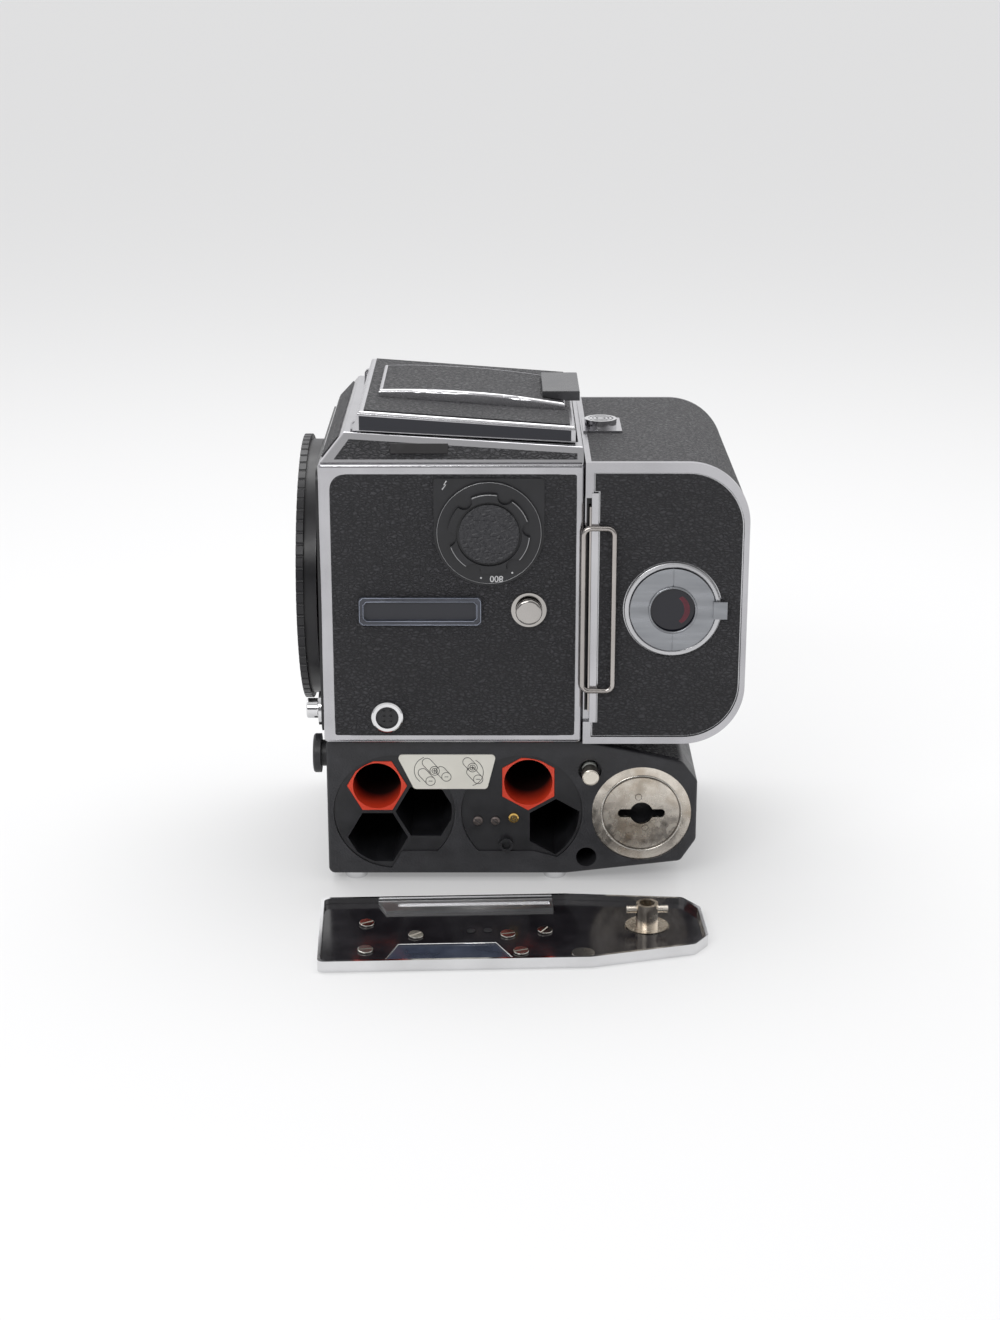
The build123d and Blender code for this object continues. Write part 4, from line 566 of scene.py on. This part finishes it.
speed_number = start_piece("speed_number", bpy.ops.object.text_add)
speed_number.data.body = "800"
speed_number.data.size = 0.0027
speed_number.data.offset = 0.00002
speed_number.data.extrude = 0.00003
speed_number.data.align_x = "CENTER"
speed_number.data.align_y = "CENTER"
bpy.ops.object.convert(target="MESH")
speed_number = bpy.context.object
number_turn = Matrix.Rotation(math.pi, 4, "Y") @ Matrix.Rotation(math.pi / 2, 4, "X")
number_place = Matrix.Translation((0.0142, mark_face * millimetre, 0.09895))
speed_number.data.transform(number_place @ number_turn)
speed_number.data.materials.append(pale_paint)
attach(speed_number, "dial")


# Accessory rail
# A low frame of blackened metal screwed through the leather, where accessories are fixed.
# Pale blue-grey lines are drawn along its outer and inner edges.
rail_low = (-27.0, 84.3)
rail_high = (9.6, 92.9)
rail_face = -48.15
rail_cut = 1.0

rail_finish = black_part("rail_finish", (0.035, 0.038, 0.05), 0.3, 2000.0, 0.00001)
rail_heart = inside_box(rail_finish, (-25.2, -60.0, 86.1), (7.8, -40.0, 91.1))
paint_over(rail_finish, rail_heart, (0.022, 0.023, 0.03), 0.4)
dress(rail_finish, "accessory_rail")


def rail_outline(inset):
    # The rail's oblong with its corners cut off, drawn a little inside its edge
    left, low = (edge + inset for edge in rail_low)
    right, high = (edge - inset for edge in rail_high)
    corners = [(left + rail_cut, low), (right - rail_cut, low)]
    corners += [(right, low + rail_cut), (right, high - rail_cut)]
    corners += [(right - rail_cut, high), (left + rail_cut, high)]
    corners += [(left, high - rail_cut), (left, low + rail_cut)]
    outline = [(x, rail_face, z) for x, z in corners]
    return outline + outline[:1]


rail_edge = plated("rail_edge", (0.36, 0.39, 0.47), 0.3)
drawn_lines("rail_outlines", [rail_outline(0.12), rail_outline(1.25)], 0.24, rail_edge, "body")


# Name places
# A thin black plate is glued to the leather on the finder's left slope, where a name would stand.
# It is left bare here.
def reshape(piece, kind, **settings):
    # Adds a modifier to a piece and applies it at once
    change = piece.modifiers.new("change", kind)
    for name, value in settings.items():
        setattr(change, name, value)
    bpy.context.view_layer.objects.active = piece
    bpy.ops.object.modifier_apply(modifier="change")


plate_size = (0.0170, 0.0032, 0.0003)
plate_lift = 0.0004
slope_rise = 8.1
slope_run = 5.1
slope_turn = Matrix.Rotation(math.atan2(slope_rise, slope_run), 4, "X")
slope_out = Vector((0.0, -slope_rise, slope_run)).normalized()
plate_place = Vector((-0.0085, -0.0446, 0.1376)) + slope_out * plate_lift
plate_black = black_part("plate_black", (0.02, 0.019, 0.02), 0.22, 2400.0, 0.00001)
bare_plate = start_piece("bare_name_plate", bpy.ops.mesh.primitive_cube_add, size=1.0)
bare_plate.data.transform(Matrix.Diagonal((*plate_size, 1.0)))
reshape(bare_plate, "BEVEL", width=0.0001, segments=2)
bare_plate.data.transform(Matrix.Translation(plate_place) @ slope_turn)
bare_plate.data.materials.append(plate_black)
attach(bare_plate, "body")


# Film magazine key
# The brushed disc turns in the chromed ring. A bright sloping bezel in its middle holds a window
# of black glass.
key_middle = (67.0, 89.0)
bezel_face = -48.0

window_black = start_finish("window_black", (0.006, 0.006, 0.012), 0.08)
window_dust = noise(window_black, surface_place(window_black), 400.0)
feed(window_black, spread(window_black, window_dust, 0.06, 0.16), "Roughness")
dress(window_black, "key_window")
drawn_lines("window_bezel", [ring(*key_middle, 7.0, bezel_face, 64)], 0.75, key_chrome, "key")


# Film signal
# A dark red crescent that shows in the window while film is unwound. It is a thin painted sheet
# and belongs to the film insert.
def thin_sheet(name, outline, finish, body):
    # A flat sheet with an outline in millimetres that runs anticlockwise as seen from outside
    sheet = start_piece(
        name, bpy.ops.mesh.primitive_circle_add, vertices=len(outline), radius=0.004, fill_type="NGON"
    )
    for vertex, place in zip(sheet.data.vertices, outline):
        vertex.co = Vector(place) * millimetre
    reshape(sheet, "SOLIDIFY", thickness=0.00005)
    sheet.data.materials.append(finish)
    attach(sheet, body)


signal_face = -47.15
signal_red = mottled("signal_red", (0.12, 0.008, 0.022), (0.07, 0.005, 0.014), 0.35, 700.0)
outer_edge = arc(67.3, 88.9, 4.9, -60, 60, signal_face, 20)
inner_edge = arc(65.9, 88.9, 4.6, 50, -50, signal_face, 20)
thin_sheet("film_signal", outer_edge + inner_edge, signal_red, "insert")


# Cell adapters
# Two hexagonal sleeves of red-orange plastic that fit thin round cells into the wide cell places.
# They are moulded and stand in the cell blocks by friction; deeper inside they are painted dark as shade.
adapter_red = mottled("adapter_red", (0.64, 0.042, 0.016), (0.76, 0.062, 0.024), 0.34, 90.0)
relief(adapter_red, noise(adapter_red, surface_place(adapter_red), 1600.0), 0.00002)
# Painted shade: the sleeves turn dark further in, towards the back of the cell blocks
adapter_painted_shade = inside_box(adapter_red, (-60.0, -36.0, 0.0), (60.0, 20.0, 60.0), 0.005)
paint_over(adapter_red, adapter_painted_shade, (0.02, 0.004, 0.003), 0.6)
dress(adapter_red, "cell_adapters")


# Cell label
# A thin cream plastic plate between the cell places, printed with fine dark lines: three cells on the left
# and two on the right, each with its end circle, its sides and a plus or minus sign, and a curved line
# beside each group.
label_face = -43.91
cell_radius = 1.45
cell_slant = 131
sign_reach = 0.6
sign_ring = 0.85

label_cream = mottled("label_cream", (0.8, 0.78, 0.71), (0.74, 0.72, 0.65), 0.45, 120.0, 4.0)
dress(label_cream, "polarity_plate")
print_ink = mottled("print_ink", (0.02, 0.02, 0.02), (0.06, 0.06, 0.055), 0.5, 2500.0)


def drawn_cell(x, z, length, plus):
    # A cell seen at a slant: its end circle, two sides and the far end's arc, and its sign
    turn = math.radians(cell_slant)
    far_x = x + length * math.cos(turn)
    far_z = z + length * math.sin(turn)
    strokes = [ring(x, z, cell_radius, label_face, 28)]
    for side in (-cell_radius, cell_radius):
        out_x = -side * math.sin(turn)
        out_z = side * math.cos(turn)
        near_end = (x + out_x, label_face, z + out_z)
        strokes.append([near_end, (far_x + out_x, label_face, far_z + out_z)])
    strokes.append(arc(far_x, far_z, cell_radius, cell_slant - 90, cell_slant + 90, label_face, 16))
    strokes.append([(x - sign_reach, label_face, z), (x + sign_reach, label_face, z)])
    if plus:
        strokes.append([(x, label_face, z - sign_reach), (x, label_face, z + sign_reach)])
        strokes.append(ring(x, z, sign_ring, label_face, 20))
    return strokes


printed_cells = (
    (-6.2, 32.5, 3.6, False),
    (-1.3, 33.9, 2.6, False),
    (-4.9, 35.9, 3.6, True),
    (8.5, 33.1, 3.2, False),
    (6.8, 37.0, 2.4, True),
)
label_strokes = []
for x, z, length, plus in printed_cells:
    label_strokes += drawn_cell(x, z, length, plus)
left_bracket = arc(-6.6, 36.0, 4.6, 110, 232, label_face)
right_bracket = arc(5.6, 35.4, 4.5, 62, -75, label_face)
label_strokes += [left_bracket, right_bracket]
drawn_lines("label_print", label_strokes, 0.19, print_ink, "body")


# Contact pins
# Two small slotted steel screws and a gold contact stand in the rear cell block beside a black guide
# tube. A dark gap shows round the contact's tip.
pin_face = -44.0

pin_metal = plated("pin_metal", (0.8, 0.52, 0.16), 0.2)
steel_pins = inside_box(pin_metal, (5.0, -50.0, 15.0), (16.5, -30.0, 25.0))
paint_over(pin_metal, steel_pins, (0.2, 0.17, 0.16), 0.3, 1.0)
guide_tube = inside_box(pin_metal, (10.0, -50.0, 5.0), (25.0, -30.0, 14.6))
paint_over(pin_metal, guide_tube, (0.012, 0.012, 0.014), 0.4)
dress(pin_metal, "contact_pins")
pin_slots = [
    [(7.4, pin_face, 19.8), (9.4, pin_face, 18.2)],
    [(12.9, pin_face, 19.7), (14.7, pin_face, 18.3)],
]
drawn_lines("pin_slots", pin_slots, 0.3, print_ink, "body")
drawn_lines("gold_pin_ring", [ring(19.5, 20.0, 0.75, pin_face, 20)], 0.22, print_ink, "body")


# Fuse
# A spare fuse stands in its own hole in the rear cell block: a small glass tube between nickel caps.
# It is held by friction and stands a little proud, so that it can be pulled out.
fuse_nickel = plated("fuse_nickel", (0.8, 0.75, 0.66), 0.25)
fuse_glass = inside_box(fuse_nickel, (30.0, -44.4, 20.0), (60.0, -34.6, 50.0))
paint_over(fuse_nickel, fuse_glass, (0.6, 0.62, 0.58), 0.1)
dress(fuse_nickel, "fuse")


# Cover lock plate
# The round nickel plate that the cover's stud turns in: pressed with a raised ring, riveted on,
# brushed round by the cover's key and stained by age.
lock_middle = (59.2, 21.4)
groove_face = -42.86
lock_face = -42.93

aged_nickel = plated("aged_nickel", (0.8, 0.74, 0.66), 0.2)
stain_place = surface_place(aged_nickel)
stains = spread(aged_nickel, noise(aged_nickel, stain_place, 130.0, 6.0), 0.0, 0.7, 0.52, 0.72)
nickel_shader = aged_nickel.node_tree.nodes["Principled BSDF"]
clean_nickel = nickel_shader.inputs["Base Color"].links[0].from_socket
stained = blend_colours(aged_nickel, stains, clean_nickel, (0.42, 0.35, 0.27))
feed(aged_nickel, stained, "Base Color")
feed(aged_nickel, spread(aged_nickel, noise(aged_nickel, stain_place, 300.0, 5.0), 0.14, 0.36), "Roughness")
dress(aged_nickel, "cover_key_plate", "cover_key_stud")

groove_dark = plated("groove_dark", (0.2, 0.18, 0.16), 0.4)
plate_grooves = [ring(*lock_middle, 12.0, groove_face, 72)]
plate_grooves += [ring(x, z, 1.0, lock_face, 20) for x, z in ((58.2, 26.8), (60.4, 16.6))]
drawn_lines("plate_grooves", plate_grooves, 0.24, groove_dark, "body")
head_metal = plated("head_metal", (0.74, 0.71, 0.66), 0.16)
raised_ring = ring(*lock_middle, 12.45, lock_face, 72)
drawn_lines("plate_raised_ring", [raised_ring], 0.5, head_metal, "body")


# Battery cover
# The cover is a chromed pressing, and its inner side is glossy black plastic with a bright channel.
# It lies inside-up in front of the camera, a little askew.
inner_gloss = black_part("inner_gloss", (0.01, 0.009, 0.011), 0.13, 900.0, 0.000004)
dress(inner_gloss, "cover_inner_plate")
cover_middle = Vector((0.019, -0.083, 0.0))
cover_turn = Matrix.Rotation(math.radians(2.4), 4, "Z")
cover_turned = Matrix.Translation(cover_middle) @ cover_turn @ Matrix.Translation(-cover_middle)


def on_cover(x, y, z):
    # A place on the cover as it would lie straight, in millimetres, moved to where it lies askew
    straight = Vector((x, y, z)) * millimetre
    return tuple(cover_turned @ straight / millimetre)


# Sunk field
# A shallow field in the cover's inner side with a blue-grey bottom. Its bright edge follows three
# sides and stops at the cover's near rim.
field_corners = ((-19.0, -101.7), (-15.0, -91.1), (13.8, -91.1), (18.4, -101.7))
field_edge = [on_cover(x, y, 0.22) for x, y in field_corners]
drawn_lines("field_edge", [field_edge], 0.5, polished_chrome, "cover")
field_blue = black_part("field_blue", (0.03, 0.036, 0.055), 0.12, 900.0, 0.000004)
field_outline = [on_cover(x, y, -0.02) for x, y in reversed(field_corners)]
thin_sheet("sunk_field", field_outline, field_blue, "cover")


# Contact heads
# Slotted nickel heads are screwed into the inner side, where they hold and bridge the cells' contacts.
# One is made, and each copy is turned as far as its screw went and leans a little.
contact_heads = (
    (-24.5, -78.5, 30),
    (-24.0, -96.6, 10),
    (-9.6, -86.6, 40),
    (17.6, -86.0, 15),
    (28.6, -83.4, 60),
    (21.4, -97.4, 20),
)
head_height = 0.0006
head_lean = Matrix.Rotation(math.radians(5), 4, "X")
head = start_piece(
    "head", bpy.ops.mesh.primitive_cylinder_add, vertices=40, radius=0.0023, depth=head_height
)
reshape(head, "BEVEL", width=0.0002, segments=3)
cutter = start_piece("cutter", bpy.ops.mesh.primitive_cube_add, size=1.0)
slot_size = Matrix.Diagonal((0.006, 0.0006, 0.0006, 1.0))
cutter.data.transform(Matrix.Translation((0.0, 0.0, 0.0004)) @ slot_size)
reshape(head, "BOOLEAN", operation="DIFFERENCE", object=cutter)
bpy.data.objects.remove(cutter)
head.data.materials.clear()
head.data.materials.append(head_metal)
for number, (x, y, turn) in enumerate(contact_heads):
    screwed_head = head.copy()
    screwed_head.data = head.data.copy()
    screwed_head.name = "contact_head_" + str(number)
    place = Matrix.Translation((x * millimetre, y * millimetre, head_height))
    turned = Matrix.Rotation(math.radians(turn), 4, "Z")
    screwed_head.data.transform(place @ turned @ head_lean)
    bpy.context.scene.collection.objects.link(screwed_head)
    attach(screwed_head, "cover")
    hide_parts("cover_contacts")
bpy.data.objects.remove(head)


# Cover discs
# Two small black heads stand between the contacts, and a plain nickel disc lies near the key stud.
# All three are low, flat and a little rounded at the edge.
disc_height = 0.0004
plain_discs = (
    ("small_head_a", 6.7, -83.6, 0.00125, moulded_black),
    ("small_head_b", 11.7, -83.1, 0.00125, moulded_black),
    ("round_disc", 39.4, -98.4, 0.0034, head_metal),
)
for name, x, y, radius, finish in plain_discs:
    disc = start_piece(
        name, bpy.ops.mesh.primitive_cylinder_add, vertices=48, radius=radius, depth=disc_height
    )
    reshape(disc, "BEVEL", width=0.00012, segments=2)
    disc.data.transform(Matrix.Translation((x * millimetre, y * millimetre, disc_height)))
    disc.data.materials.append(finish)
    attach(disc, "cover")
    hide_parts("cover_contacts")


# Focusing screen
# A square of glass with one side ground, held in the body's top under the finder.
# A fine cross of dark lines is drawn on it for framing.
screen_face = 132.52

screen_glass = mottled("screen_glass", (0.7, 0.72, 0.71), (0.8, 0.82, 0.81), 0.5, 2600.0)
screen_dust = noise(screen_glass, surface_place(screen_glass), 900.0)
feed(screen_glass, spread(screen_glass, screen_dust, 0.4, 0.6), "Roughness")
dress(screen_glass, "focusing_screen")
screen_lines = [
    [(2.6, -27.0, screen_face), (2.6, 27.0, screen_face)],
    [(-24.0, 0.0, screen_face), (29.0, 0.0, screen_face)],
]
drawn_lines("screen_lines", screen_lines, 0.1, print_ink, "body")


# Magnifier lens
# A lens of clear glass, pressed into the arm that swings under the finder lid.
# It has a few faint smears.
lens_glass = start_finish("lens_glass", (0.9, 0.92, 0.92), 0.03)
feed(lens_glass, 0.95, "Transmission Weight")
lens_smear = noise(lens_glass, surface_place(lens_glass), 150.0)
feed(lens_glass, spread(lens_glass, lens_smear, 0.02, 0.07), "Roughness")
dress(lens_glass, "magnifier_lens")
